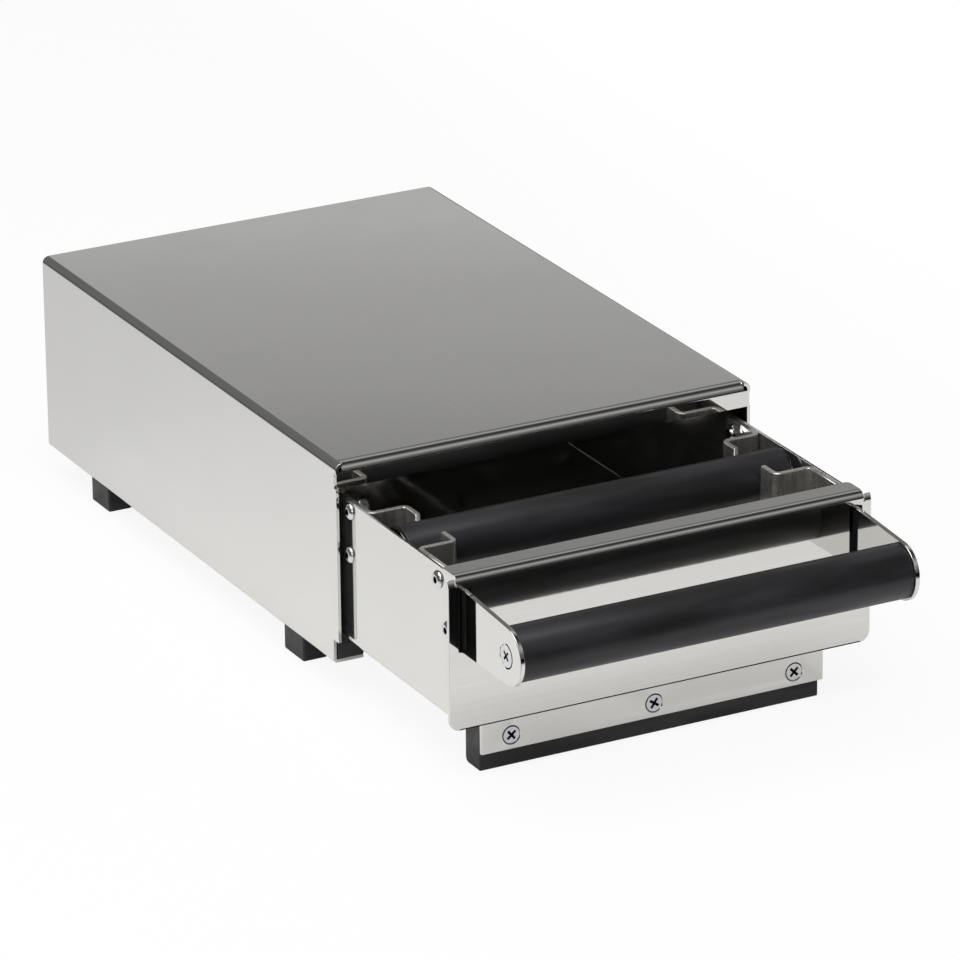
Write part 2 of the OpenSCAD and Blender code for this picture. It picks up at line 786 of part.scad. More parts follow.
module apron_strip() {
    color(steel) in_drawer() difference() {
        translate([-apron_left, 0, apron_low_z]) cube([apron_w, apron_sheet, apron_h]);
        at_studs() rod_y(screw_d[medium] + 2 * hole_play, -overrun, apron_sheet + 2 * overrun);
        at_apron_screws() flat_screw_cut(medium, apron_head_d, apron_sheet,
            apron_sheet + overrun);
    }
}

module apron_block() {
    h = tray_z - block_gap;
    color(rubber) in_drawer() difference() {
        translate([0, 0, block_gap]) along_x(-apron_left, apron_w - block_short) {
            translate([front_wall_y, 0]) square([block_d - block_edge_r, h]);
            translate([front_wall_y, block_edge_r]) square([block_d, h - block_edge_r]);
            translate([block_back_y - block_edge_r, block_edge_r]) circle(block_edge_r);
        }
        at_apron_screws() rod_y(screw_d[medium] + 2 * hole_play, 0, block_back_y + overrun);
    }
}

module apron_screws() {
    color(bright_steel) in_drawer() at_apron_screws() flat_screw(medium, apron_head_d,
        apron_sheet, block_back_y + nut_h[medium] + thread_end);
}

module apron_nuts() {
    color(bright_steel) in_drawer() at_apron_screws() translate([0, block_back_y, 0])
        nut_y(medium);
}

module front_panel_studs() {
    length = front_wall_y + tray_sheet + nut_h[medium] + thread_end;
    color(bright_steel) in_drawer() at_studs() rod_y(screw_d[medium], 0, length);
}

module front_panel_nuts() {
    color(bright_steel) in_drawer() at_studs()
        translate([0, front_wall_y + tray_sheet, 0]) nut_y(medium);
}

// Places a piece of the knock bar drawn around the bar's axis
module on_bar() {
    in_drawer() translate([0, bar_y, bar_axis_z]) children();
}

module knock_bar_sleeve() {
    color(rubber) on_bar() difference() {
        rod_x(bar_d, -bar_tube_l / 2, bar_tube_l);
        rod_x(bar_tube_d + 2 * fit_play, -bar_tube_l / 2 - overrun, bar_tube_l + 2 * overrun);
    }
}

module knock_bar_core() {
    color(steel) on_bar() difference() {
        rod_x(bar_tube_d, -bar_tube_l / 2, bar_tube_l);
        rod_x(bar_bore_d, -bar_tube_l / 2 - overrun, bar_tube_l + 2 * overrun);
    }
}

module bar_end_cap(side) {
    color(bright_steel) on_bar() mirror([side < 0 ? 1 : 0, 0, 0]) {
        rod_x(bar_d, bar_tube_l / 2, cap_disc);
        rod_x(bar_bore_d - 2 * fit_play, bar_tube_l / 2 - cap_plug, cap_plug + cap_disc);
    }
}

module left_bar_end_cap() { bar_end_cap(-1); }
module right_bar_end_cap() { bar_end_cap(1); }

casing_shell();
rear_panel();
rear_panel_screws();
rear_panel_nuts();
left_slide_strip();
right_slide_strip();
front_left_foot();
front_right_foot();
rear_left_foot();
rear_right_foot();
foot_screws();
drawer_tray();
front_panel();
front_panel_studs();
front_panel_nuts();
left_handle_plate();
right_handle_plate();
grip_rod();
grip_sleeve();
grip_screws();
front_left_bracket();
front_right_bracket();
rear_left_bracket();
rear_right_bracket();
bracket_screws();
bracket_nuts();
apron_strip();
apron_block();
apron_screws();
apron_nuts();
knock_bar_sleeve();
knock_bar_core();
left_bar_end_cap();
right_bar_end_cap();
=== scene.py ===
"""Knock box drawer, dressed for its photograph: folded and polished sheet steel, black rubber and
bright screws, worked out as rounded sheets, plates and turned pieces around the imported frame."""

import math
from collections import namedtuple

import bmesh
import bpy
import numpy as np
from mathutils import Matrix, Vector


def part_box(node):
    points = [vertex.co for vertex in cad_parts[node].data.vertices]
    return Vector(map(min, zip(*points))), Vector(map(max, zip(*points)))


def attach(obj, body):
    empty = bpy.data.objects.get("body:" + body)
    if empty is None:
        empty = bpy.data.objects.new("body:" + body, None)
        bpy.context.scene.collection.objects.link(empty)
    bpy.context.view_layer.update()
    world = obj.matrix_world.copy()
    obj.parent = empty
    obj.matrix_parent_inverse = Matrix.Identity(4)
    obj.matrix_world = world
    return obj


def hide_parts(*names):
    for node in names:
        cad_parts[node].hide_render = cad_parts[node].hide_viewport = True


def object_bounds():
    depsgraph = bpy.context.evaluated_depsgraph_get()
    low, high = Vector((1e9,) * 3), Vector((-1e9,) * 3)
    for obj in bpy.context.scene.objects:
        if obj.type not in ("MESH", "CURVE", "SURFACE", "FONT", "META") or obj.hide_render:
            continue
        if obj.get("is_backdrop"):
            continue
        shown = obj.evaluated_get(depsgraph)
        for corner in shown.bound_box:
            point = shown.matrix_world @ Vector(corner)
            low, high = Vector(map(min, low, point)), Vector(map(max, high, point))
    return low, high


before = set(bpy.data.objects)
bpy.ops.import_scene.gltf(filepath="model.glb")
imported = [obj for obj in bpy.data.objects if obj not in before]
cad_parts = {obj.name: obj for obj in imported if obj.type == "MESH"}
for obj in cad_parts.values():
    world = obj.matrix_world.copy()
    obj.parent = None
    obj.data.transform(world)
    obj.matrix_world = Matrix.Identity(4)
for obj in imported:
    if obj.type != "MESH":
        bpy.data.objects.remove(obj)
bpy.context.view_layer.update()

bl_info = {
    "name": "Knock box drawer",
    "version": (1, 0, 0),
    "blender": (4, 5, 0),
    "location": "3D View > Sidebar > Knock drawer",
    "description": "Builds a steel knock box drawer with its rubber grip, bar and feet",
    "category": "Add Mesh",
}

MM = 0.001
SEAM = 0.01 * MM
PLATE_RIM = 0.35 * MM
HOLE_RIM = 0.15 * MM
QUARTER = math.pi / 2
CREASE = math.radians(32)


# Shapes


# Points, blocks of faces with equally many corners each, and what some shapes carry at their
# points: normals, and painted shade from 0 for none to 1 for black, which darkens sockets,
# recesses, chamfers and creases where shade falls.
Shape = namedtuple("Shape", "points faces normals grime", defaults=(None, None))


def cad_box(node):
    """A frame node's lowest and highest corners as arrays."""
    low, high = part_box(node)
    return np.array(low), np.array(high)


def cad_solids(node):
    """The lowest and highest corners of each separate solid of a frame node, in rows.

    Vertices at one place are merged, and each takes the lowest number among its neighbours until
    nothing changes, so that a solid's vertices share one number."""
    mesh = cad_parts[node].data
    points = np.empty(len(mesh.vertices) * 3)
    mesh.vertices.foreach_get("co", points)
    points = points.reshape(-1, 3)
    corner_vertex = np.empty(len(mesh.loops), int)
    mesh.loops.foreach_get("vertex_index", corner_vertex)
    _, place = np.unique(np.round(points / SEAM).astype(int), axis=0, return_inverse=True)
    triangles = place.ravel()[corner_vertex].reshape(-1, 3)
    label = np.arange(place.max() + 1)
    while True:
        lowest = label[triangles].min(1)
        spread = label.copy()
        for corner in triangles.T:
            np.minimum.at(spread, corner, lowest)
        if np.array_equal(spread, label):
            break
        label = spread
    solid = label[place.ravel()]
    parts = [points[solid == k] for k in np.unique(solid)]
    return np.array([p.min(0) for p in parts]), np.array([p.max(0) for p in parts])


def round_corners(corners, radii, steps=7):
    """A closed outline whose corners are arcs, with the outward normal of each of its points.

    For an anticlockwise outline a corner's arc has its centre on the corner's bisector, and its
    normal turns evenly from the normal of the edge before to that of the edge after."""
    corner = np.asarray(corners, float)
    radius = np.broadcast_to(np.asarray(radii, float), len(corner))
    edge = np.roll(corner, -1, 0) - corner
    edge /= np.linalg.norm(edge, axis=1, keepdims=True)
    normal = np.stack([edge[:, 1], -edge[:, 0]], 1)
    before = np.roll(normal, 1, 0)
    turn = np.arctan2(before[:, 0] * normal[:, 1] - before[:, 1] * normal[:, 0],
                      (before * normal).sum(1))
    side = np.sign(turn)[:, None]
    reach = (before + normal) / (1 + (before * normal).sum(1))[:, None]
    centre = corner - side * radius[:, None] * reach
    angle = np.arctan2(before[:, 1], before[:, 0])[:, None]
    angle = angle + turn[:, None] * np.linspace(0, 1, steps)
    normals = np.stack([np.cos(angle), np.sin(angle)], 2)
    points = centre[:, None] + side[:, None] * radius[:, None, None] * normals
    return points.reshape(-1, 2), normals.reshape(-1, 2)


def rectangle(low, high, radii):
    """A rounded rectangle's outline; its radii start at the low corner and go anticlockwise."""
    return round_corners([low, (high[0], low[1]), high, (low[0], high[1])], radii)


def both_sides(side, bends):
    """A middle line and its bends, carried on to the other side by their mirror image."""
    return side + [(-x, z) for x, z in side[::-1]], bends + bends[::-1]


def fold_line(corners, bends, steps=9):
    """A sheet's middle line with an arc at each fold: points, normals to its right and directions.

    A fold's arc starts and ends at its tangent points, a share tan(turn / 2) of its radius away
    from the corner, and its direction turns evenly between those of its two flats. A corner with
    no turn adds one plain station."""
    corner = np.asarray(corners, float)
    step = np.diff(corner, axis=0)
    heading = np.arctan2(step[:, 1], step[:, 0])
    turn = (np.diff(heading) + math.pi) % (2 * math.pi) - math.pi
    radius = np.asarray(bends, float)
    share = np.linspace(0, 1, steps)
    angle = heading[:-1, None] + turn[:, None] * share
    reach = np.abs(np.tan(turn / 2)) * radius
    ahead = np.stack([np.cos(heading[:-1]), np.sin(heading[:-1])], 1)
    start = corner[1:-1] - reach[:, None] * ahead
    spin = np.sign(turn)[:, None] * radius[:, None]
    x = start[:, :1] + spin * (np.sin(angle) - np.sin(angle[:, :1]))
    y = start[:, 1:] - spin * (np.cos(angle) - np.cos(angle[:, :1]))
    points = np.concatenate([corner[:1], np.stack([x, y], 2).reshape(-1, 2), corner[-1:]])
    angle = np.concatenate([heading[:1], angle.ravel(), heading[-1:]])
    kept = np.r_[True, np.linalg.norm(np.diff(points, axis=0), axis=1) > SEAM / 4]
    points, angle = points[kept], angle[kept]
    along = np.stack([np.cos(angle), np.sin(angle)], 1)
    return points, np.stack([along[:, 1], -along[:, 0]], 1), along


def ring_quads(rings, count):
    """Quads between neighbouring closed rings of count points each."""
    here = np.arange(count)
    there = (here + 1) % count
    row = np.arange(rings - 1)[:, None] * count
    corners = [row + here, row + there, row + count + there, row + count + here]
    return np.stack(corners, 2).reshape(-1, 4)


def lay(flat, height, axis):
    """Points whose two flat coordinates and height lie in the plane across x, y or z."""
    order = {"x": (2, 0, 1), "y": (0, 2, 1), "z": (0, 1, 2)}[axis]
    height = np.broadcast_to(height, flat.shape[:-1])[..., None]
    return np.concatenate([flat, height], -1)[..., order]


def folded_sheet(corners, bends, thick, low, high, axis, rim, rim_low=None, rim_high=None,
                 end_rims=(None, None)):
    """A folded sheet with rounded rims.

    Stations along the middle line carry the sheet's two faces half a thickness to either side.
    low and high give the sheet's ends at each station, as functions of the station's place or as
    numbers, and rim_low and rim_high their rims where they differ from rim. Around its edge each
    face turns down through a quarter circle of radius rim: inset = rim (1 - sin a),
    drop = rim (1 - cos a)."""
    line, normal, along = fold_line(corners, bends)
    count = len(line)

    def around(*values):
        there, back = (np.broadcast_to(v(line) if callable(v) else v, count) for v in values)
        return np.r_[there, back[::-1]]

    first, last, rim_low, rim_high = (
        rim if r is None else r for r in (*end_rims, rim_low, rim_high))
    loop = np.r_[np.arange(count), np.arange(count)[::-1]]
    base, facing, run = line[loop], normal[loop], along[loop]
    end, out, radius = around(low, high), around(-1.0, 1.0), around(rim_low, rim_high)
    tip = np.where(loop == 0, -1.0, np.where(loop == count - 1, 1.0, 0.0))
    tip_radius = np.where(loop == 0, first, last)
    drop = np.maximum(radius, np.where(tip != 0, tip_radius, 0))
    rings, ring_normals = [], []
    for face in (1, -1):
        for a in np.linspace(0, QUARTER, 4)[::face]:
            height = face * (thick / 2 - drop * (1 - math.cos(a)))
            flat = base + facing * height[:, None]
            flat = flat - run * (tip * tip_radius * (1 - math.sin(a)))[:, None]
            rings.append(lay(flat, end - out * radius * (1 - math.sin(a)), axis))
            side = lay(run * tip[:, None], out, axis)
            side /= np.linalg.norm(side, axis=1, keepdims=True)
            ring_normals.append(lay(facing * (face * math.cos(a)), 0.0, axis) + side * math.sin(a))
    quads = ring_quads(len(rings), 2 * count)
    step = np.arange(count - 1)
    far = 2 * count - 1 - step
    across = np.stack([step, step + 1, far - 1, far], 1)
    faces = np.concatenate([quads, across[:, ::-1], across + (len(rings) - 1) * 2 * count])
    if axis != "y":
        faces = faces[:, ::-1]
    return Shape(np.concatenate(rings), [faces], np.concatenate(ring_normals))


def plate(outline, low, high, axis, rim=PLATE_RIM, rim_high=None, hole=None):
    """A flat plate or block with rounded rims.

    The outline is carried from low to high. At both ends it shrinks along its normals through a
    quarter circle, inset = rim (1 - cos a) at height rim (1 - sin a) from the end. A hole, given
    by its centre, radius, depth and end (-1 low, 1 high), turns each outline point to the circle
    point in the same direction from the centre, and sinks that circle."""
    flat, normal = outline
    rim_high = rim if rim_high is None else rim_high
    rings = [(flat - normal * radius * (1 - math.cos(a)), end - way * radius * (1 - math.sin(a)),
              normal * math.cos(a), way * math.sin(a))
             for end, way, radius in ((low, -1, rim), (high, 1, rim_high))
             for a in np.linspace(QUARTER, 0, 5)[::-way]]
    if hole is not None:
        centre, size, depth, way = hole
        end = low if way < 0 else high
        spoke = flat - centre
        spoke /= np.linalg.norm(spoke, axis=1, keepdims=True)
        sunk = [(centre + spoke * (size + HOLE_RIM * (1 - math.cos(a))),
                 end - way * HOLE_RIM * (1 - math.sin(a)), spoke * -math.cos(a), way * math.sin(a))
                for a in np.linspace(QUARTER, 0, 4)]
        sunk += [(centre + spoke * size, end - way * depth, *facing)
                 for facing in ((-spoke, 0.0), (spoke * 0, way))]
        rings = sunk[::-1] + rings if way < 0 else rings + sunk
    solid = stacked([lay(points, height, axis) for points, height, _, _ in rings], axis == "y")
    return solid._replace(
        normals=np.concatenate([lay(facing, up, axis) for _, _, facing, up in rings]))


def stacked(rings, turned_round):
    """Closed rings of equally many points joined into one solid with flat ends."""
    count = len(rings[0])
    cap = np.arange(count)[None]
    faces = [ring_quads(len(rings), count), cap[:, ::-1], cap + (len(rings) - 1) * count]
    if turned_round:
        faces = [block[:, ::-1] for block in faces]
    return Shape(np.concatenate(rings), faces)


def turned(rings, steps):
    """A turned piece around z with flat ends.

    Each ring is a height and a radius, which is a number or a function of the angle, and may end
    with its painted shade."""
    angle = np.arange(steps) * 2 * math.pi / steps
    circle = np.stack([np.cos(angle), np.sin(angle)], 1)
    reach = [np.broadcast_to(r(angle) if callable(r) else r, steps) for _, r, *_ in rings]
    heights = [ring[0] for ring in rings]
    points = [lay(circle * r[:, None], height, "z") for r, height in zip(reach, heights)]
    area = (np.array(reach) ** 2).sum(1)
    shape = stacked(points, (np.diff(heights) * (area[1:] + area[:-1])).sum() < 0)
    grime = [(*ring, 0.0)[2] for ring in rings]
    return shape._replace(grime=np.repeat(grime, steps)) if any(grime) else shape


def hexagon(width):
    """The radius of a six-sided outline at each angle: half its width over the flats, divided by
    the cosine of the angle from the middle of the nearest flat."""
    return lambda angle: width / 2 / np.cos(angle % (math.pi / 3) - math.pi / 6)


def cross(length, width):
    """The radius of a cross of two slots with a round middle, at each angle.

    A slot reaches to the nearer of its end and its side: half its length over the cosine, or half
    its width over the sine. The largest of both slots and the middle counts."""
    def radius(angle):
        c, s = np.abs(np.cos(angle)) + 1e-9, np.abs(np.sin(angle)) + 1e-9
        level = np.minimum(length / 2 / c, width / 2 / s)
        upright = np.minimum(width / 2 / c, length / 2 / s)
        return np.maximum(np.maximum(level, upright), length * 0.17)
    return radius


def seam_line(corner, side, reach):
    """The outline of a hollow seam between a plate and the panel behind it.

    Its arc has its centre a reach out from both, so that it meets both flush, and its other
    points lie a little inside them. side is 1 or -1, the way from the plate along the panel."""
    angle = np.linspace(QUARTER, 0, 9)[:, None]
    inward = np.concatenate([side * np.cos(angle), -np.sin(angle)], 1)
    arc = corner + reach * (np.array([side, -1.0]) - inward)
    sunk = 0.1 * MM
    buried = corner + np.array([(-side * sunk, -reach), (-side * sunk, sunk), (side * reach, sunk)])
    facing = np.array([(-side, -1.0), (-side, 1.0), (side, 1.0)]) / math.sqrt(2)
    points, normals = np.concatenate([arc, buried]), np.concatenate([inward, facing])
    return points[::-side], normals[::-side]


def laid(shape, towards, place, spin=0.0):
    """A turned piece with its axis brought from +z to the direction towards, then moved."""
    axis = np.asarray(towards, float)
    side = np.array([0.0, 0.0, 1.0]) if abs(axis[2]) < 0.5 else np.array([1.0, 0.0, 0.0])
    across = np.cross(side, axis)
    across /= np.linalg.norm(across)
    up = np.cross(axis, across)
    c, s = math.cos(spin), math.sin(spin)
    turn = np.array([c * across + s * up, c * up - s * across, axis])
    return shape._replace(points=shape.points @ turn + place)


def gather(shapes):
    """Several shapes as one. It has normals where all have them, and painted shade where any has.
    """
    counts = [len(shape.points) for shape in shapes]
    starts = np.cumsum([0, *counts])
    faces = [block + start for shape, start in zip(shapes, starts) for block in shape.faces]
    normals = [shape.normals for shape in shapes]
    grime = [np.zeros(count) if shape.grime is None else shape.grime
             for shape, count in zip(shapes, counts)]
    return Shape(np.concatenate([shape.points for shape in shapes]), faces,
                 None if any(n is None for n in normals) else np.concatenate(normals),
                 np.concatenate(grime) if np.concatenate(grime).any() else None)


def add_piece(name, mesh, node, body, finish):
    """A mesh as a piece that rides on a body, has a finish and stands for a frame node."""
    piece = bpy.data.objects.new(name, mesh)
    bpy.context.scene.collection.objects.link(piece)
    mesh.materials.clear()
    mesh.materials.append(material_of(finish))
    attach(piece, body)
    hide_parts(node)
    return piece


def make_piece(name, node, shape, body, finish):
    """A shape as a smoothly shaded piece that stands for a frame node."""
    mesh = bpy.data.meshes.new(name)
    faces = [face for block in shape.faces for face in block.tolist()]
    mesh.from_pydata(shape.points.tolist(), [], faces)
    mesh.update()
    mesh.polygons.foreach_set("use_smooth", np.ones(len(mesh.polygons), bool))
    if shape.normals is None:
        mesh.set_sharp_from_angle(angle=CREASE)
    else:
        mesh.normals_split_custom_set_from_vertices(shape.normals.tolist())
    # Painted shade is stored at the points, for the materials to turn black.
    if shape.grime is not None:
        mesh.attributes.new("grime", "FLOAT", "POINT").data.foreach_set("value", shape.grime)
    add_piece(name, mesh, node, body, finish)


def eased_copy(name, node, body, finish, width):
    """A copy of a frame node's mesh, merged, with a bevel along its edges."""
    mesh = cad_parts[node].data.copy()
    work = bmesh.new()
    work.from_mesh(mesh)
    bmesh.ops.remove_doubles(work, verts=work.verts, dist=SEAM / 10)
    bmesh.ops.dissolve_limit(work, angle_limit=math.radians(1), verts=work.verts, edges=work.edges)
    work.to_mesh(mesh)
    work.free()
    mesh.set_sharp_from_angle(angle=CREASE)
    bevel = add_piece(name, mesh, node, body, finish).modifiers.new("edges", "BEVEL")
    bevel.width = width
    bevel.segments = 2
    bevel.limit_method = "ANGLE"
    bevel.angle_limit = CREASE
    bevel.harden_normals = True


# Materials


class Wave:
    """A socket's value, with the operators that add Math nodes."""

    def __init__(self, nodes, socket):
        self.nodes, self.socket = nodes, socket

    def maths(self, operation, first, second=0.0):
        """A Math node's value."""
        return self.nodes.add("ShaderNodeMath", {"operation": operation}, Value=first,
                              Value_001=second)["Value"]

    def __add__(self, other):
        return self.maths("ADD", self, other)

    def __mul__(self, other):
        return self.maths("MULTIPLY", self, other)

    def __sub__(self, other):
        return self.maths("SUBTRACT", self, other)

    def __rsub__(self, other):
        return self.maths("SUBTRACT", other, self)

    __radd__ = __add__
    __rmul__ = __mul__


class Nodes:
    """A node tree that nodes are added to, each with its settings first and then its sockets."""

    def __init__(self, tree):
        self.tree = tree
        tree.nodes.clear()

    def add(self, kind, settings=None, **sockets):
        node = self.tree.nodes.new(kind)
        for name, value in (settings or {}).items():
            if name == "stops":
                elements = node.color_ramp.elements
                for index, (at, grey) in enumerate(value):
                    element = elements[index] if index < 2 else elements.new(at)
                    element.position = at
                    element.color = (grey, grey, grey, 1.0)
            else:
                setattr(node, name, value)
        found = {s.identifier: s for s in node.inputs}
        for name, value in sockets.items():
            socket = found[name if name in found else name.replace("_", " ")]
            if isinstance(value, Wave):
                self.tree.links.new(value.socket, socket)
            else:
                socket.default_value = value
        return {s.identifier: Wave(self, s) for s in node.outputs}

    def greys(self, value, stops):
        """A grey that follows a value through stops of a place and a brightness."""
        return self.add("ShaderNodeValToRGB", {"stops": stops}, Fac=value)["Color"]

    def blended(self, share, first, second):
        """One colour turning into another with a share from 0 to 1."""
        return self.add("ShaderNodeMix", {"data_type": "RGBA"}, Factor_Float=share, A_Color=first,
                        B_Color=second)["Result_Color"]

    def between(self, value, low, high, start, end):
        """A value carried from one range to another, held at its ends."""
        ends = {"From Min": low, "From Max": high, "To Min": start, "To Max": end}
        return self.add("ShaderNodeMapRange", {"interpolation_type": "SMOOTHSTEP"}, Value=value,
                        **ends)["Result"]

    def noise(self, place, scale, detail, stretch=(1, 1, 1)):
        """Even noise, or noise stretched by a scale along each axis."""
        spot = self.add("ShaderNodeMapping", None, Vector=place, Scale=stretch)["Vector"]
        return self.add("ShaderNodeTexNoise", None, Vector=spot, Scale=scale, Detail=detail)["Fac"]

    def bump(self, height, strength, depth):
        """Normals that follow a height."""
        return self.add("ShaderNodeBump", None, Height=height, Strength=strength,
                        Distance=depth)["Normal"]

    def soiled(self, colour):
        """A colour turned black where a piece has painted shade."""
        grime = self.add("ShaderNodeAttribute", {"attribute_name": "grime"})["Fac"]
        return self.blended(grime, colour, (0.006, 0.006, 0.006, 1.0))

    def end_mixed(self, kind, share, first, second):
        """Ends the tree with two shaders mixed by a share."""
        mixed = self.add("ShaderNodeMixShader", None, Fac=share, Shader=first, Shader_001=second)
        self.add("ShaderNodeOutput" + kind, None, Surface=mixed["Shader"])


MADE = {}


def new_material(name):
    """A material's empty node tree, and the place on the object that its patterns read."""
    material = bpy.data.materials.new(name)
    material.use_nodes = True
    nodes = Nodes(material.node_tree)
    return material, nodes, nodes.add("ShaderNodeTexCoord")["Object"]


def material_of(finish):
    """A finish's material, made the first time it is asked for: one shader, whose sockets the
    finish's function gives."""
    if finish not in MADE:
        material, nodes, place = new_material(finish.__name__)
        sockets = finish(nodes, place, bpy.context.scene.drawer_finish)
        shader = nodes.add("ShaderNodeBsdfPrincipled", None, **sockets)["BSDF"]
        nodes.add("ShaderNodeOutputMaterial", None, Surface=shader)
        MADE[finish] = material
    return MADE[finish]


def faded(colour, share):
    """A colour made brighter or darker by a share."""
    return (*(c * share for c in colour), 1.0)


def polished_steel(nodes, place, look, density=(22, 22, 22), depth=0.03, metal=1.0):
    """Mirror-polished sheet: a clear reflection, faint rolling grain and wiped smudges. Its colour
    varies by a share depth over patches of the given density."""
    smudge = nodes.noise(place, 22, 4)
    patches = nodes.noise(place, 1, 4, density)
    grain = nodes.noise(place, 1, 3, (420, 9, 420))
    rough = nodes.between(smudge, 0.4, 0.8, look.polish, look.polish * 1.5) + grain * 0.01
    bump = nodes.bump(grain, 0.02, 0.2 * MM)
    colour = nodes.blended(patches, faded(look.steel, 1 + depth / 3), faded(look.steel, 1 - depth))
    # Painted shade: black in the hollow seams at the roots of the handle plates.
    return {"Base Color": nodes.soiled(colour), "Metallic": metal, "Roughness": rough,
            "Normal": bump}


def streaked_steel(nodes, place, look):
    """The same sheet with the streaks that rolling leaves along x."""
    return polished_steel(nodes, place, look, (3, 800, 800), 0.1)


def dulled_steel(nodes, place, look):
    """The drawer's own sheet, whose polish is dulled by use."""
    return polished_steel(nodes, place, look, metal=0.96)


def bracket_steel(nodes, place, look):
    """Tumbled plate: a soft shine over a grey skin, with a fine upright grain."""
    cloud = nodes.noise(place, 60, 4)
    grain = nodes.noise(place, 1, 3, (500, 500, 12))
    bump = nodes.bump(grain, 0.12, 0.2 * MM)
    colour = nodes.blended(grain, faded(look.satin, 1.6), faded(look.satin, 0.5))
    return {"Base Color": colour, "Metallic": 0.9,
            "Roughness": nodes.between(cloud, 0.3, 0.7, 0.2, 0.3), "Normal": bump}


def screw_steel(nodes, place, look):
    """Plated screws and nuts, a little dull from handling."""
    cloud = nodes.noise(place, 420, 3)
    bump = nodes.bump(cloud, 0.08, 0.1 * MM)
    colour = nodes.blended(cloud, faded(look.bright, 0.98), faded(look.bright, 0.85))
    # Painted shade: black in the sockets, recesses and chamfers, and darker under the heads and on
    # the bar's end caps.
    return {"Base Color": nodes.soiled(colour), "Metallic": 1.0,
            "Roughness": nodes.between(cloud, 0.3, 0.7, 0.08, 0.18), "Normal": bump}


def black_rubber(nodes, place, look):
    """Dense moulded rubber: smooth and slightly glossy, with fine pitting and long dusty
    patches."""
    dust = nodes.noise(place, 1, 5, (16, 75, 75))
    pits = nodes.noise(place, 2600, 2)
    bump = nodes.bump(pits, 0.25, 0.1 * MM)
    colour = nodes.blended(nodes.between(dust, 0.35, 0.65, 0.0, 1.0), faded(look.rubber, 0.5),
                           faded(look.rubber, 1.7))
    return {"Base Color": colour, "Roughness": nodes.between(dust, 0.35, 0.65, 0.44, 0.36),
            "Normal": bump, "Specular IOR Level": 0.38}


def runner_plastic(nodes, place, look):
    """Hard black plastic runners, polished where the drawer rubs."""
    wear = nodes.noise(place, 6, 4, (40, 2, 40))
    bump = nodes.bump(wear, 0.1, 0.2 * MM)
    colour = nodes.blended(wear, faded(look.plastic, 0.9), faded(look.plastic, 1.4))
    return {"Base Color": colour, "Roughness": nodes.between(wear, 0.3, 0.7, 0.3, 0.5),
            "Normal": bump}


# The frame's boxes and the real sheets that the pieces are worked out from, in metres.
CASING_LOW, CASING_HIGH = cad_box("casing_shell")
TRAY_LOW, TRAY_HIGH = cad_box("drawer_tray")
PANEL_LOW, PANEL_HIGH = cad_box("front_panel")
SHEET, TRAY_SHEET, BRACKET_SHEET = 2 * MM, 1.5 * MM, 3 * MM
BEND_Z = PANEL_HIGH[2] - 6 * MM
BAR_STEPS, ROUND_STEPS, CROSS_STEPS, NUT_STEPS = 96, 72, 144, 48
SOCKET_DEPTH, TIP, LIFT = 1.5 * MM, 0.5 * MM, 0.1 * MM
HANDS = (("left", -1), ("right", 1))
ENDS = (("front", -1), ("rear", 1))


def drawer_y(y):
    """A place y millimetres behind the back of the front panel's face."""
    return PANEL_LOW[1] + SHEET + y * MM


LENGTH = {"precision": 5, "unit": "LENGTH"}
COLOUR = {"min": 0, "max": 1, "subtype": "COLOR"}


class DrawerSizes(bpy.types.PropertyGroup):
    """Sizes of the drawer's edges, sockets and recesses"""

    cut_rim: bpy.props.FloatProperty(
        name="Cut edge radius", description="Rounding along the edges of cut sheet",
        default=0.3 * MM, min=0.05 * MM, max=0.7 * MM, **LENGTH)
    rubber_rim: bpy.props.FloatProperty(
        name="Rubber edge radius", description="Rounding along the edges of rubber pieces",
        default=0.8 * MM, min=0.2 * MM, max=1.5 * MM, **LENGTH)
    socket_width: bpy.props.FloatProperty(
        name="Hexagon socket", description="Width over the flats of the round screws' sockets",
        default=3.3 * MM, min=2.5 * MM, max=4.5 * MM, **LENGTH)
    cross_length: bpy.props.FloatProperty(
        name="Cross recess length", description="Length of a flat screw's cross recess",
        default=6 * MM, min=3 * MM, max=6.4 * MM, **LENGTH)
    cross_width: bpy.props.FloatProperty(
        name="Cross recess width", description="Width of each slot of a cross recess",
        default=1.2 * MM, min=0.6 * MM, max=2 * MM, **LENGTH)


class DrawerFinish(bpy.types.PropertyGroup):
    """Colours and polish of the drawer's materials, and the floor's colour"""

    steel: bpy.props.FloatVectorProperty(
        name="Polished steel", description="Colour of the polished sheets",
        default=(0.727, 0.72, 0.697), **COLOUR)
    bright: bpy.props.FloatVectorProperty(
        name="Bright steel", description="Colour of the screws and nuts",
        default=(0.74, 0.74, 0.74), **COLOUR)
    satin: bpy.props.FloatVectorProperty(
        name="Satin steel", description="Colour of the brackets",
        default=(0.6, 0.585, 0.55), **COLOUR)
    rubber: bpy.props.FloatVectorProperty(
        name="Rubber", description="Colour of the grip, bar, block and feet",
        default=(0.0128, 0.012, 0.0142), **COLOUR)
    plastic: bpy.props.FloatVectorProperty(
        name="Runner plastic", description="Colour of the slide strips",
        default=(0.016, 0.016, 0.017), **COLOUR)
    polish: bpy.props.FloatProperty(
        name="Sheet roughness", description="How much the polished sheets blur what they mirror",
        default=0.035, min=0.01, max=0.4, subtype="FACTOR")
    floor: bpy.props.FloatVectorProperty(
        name="Floor", description="Colour of the studio floor",
        default=(0.92, 0.92, 0.92), **COLOUR)


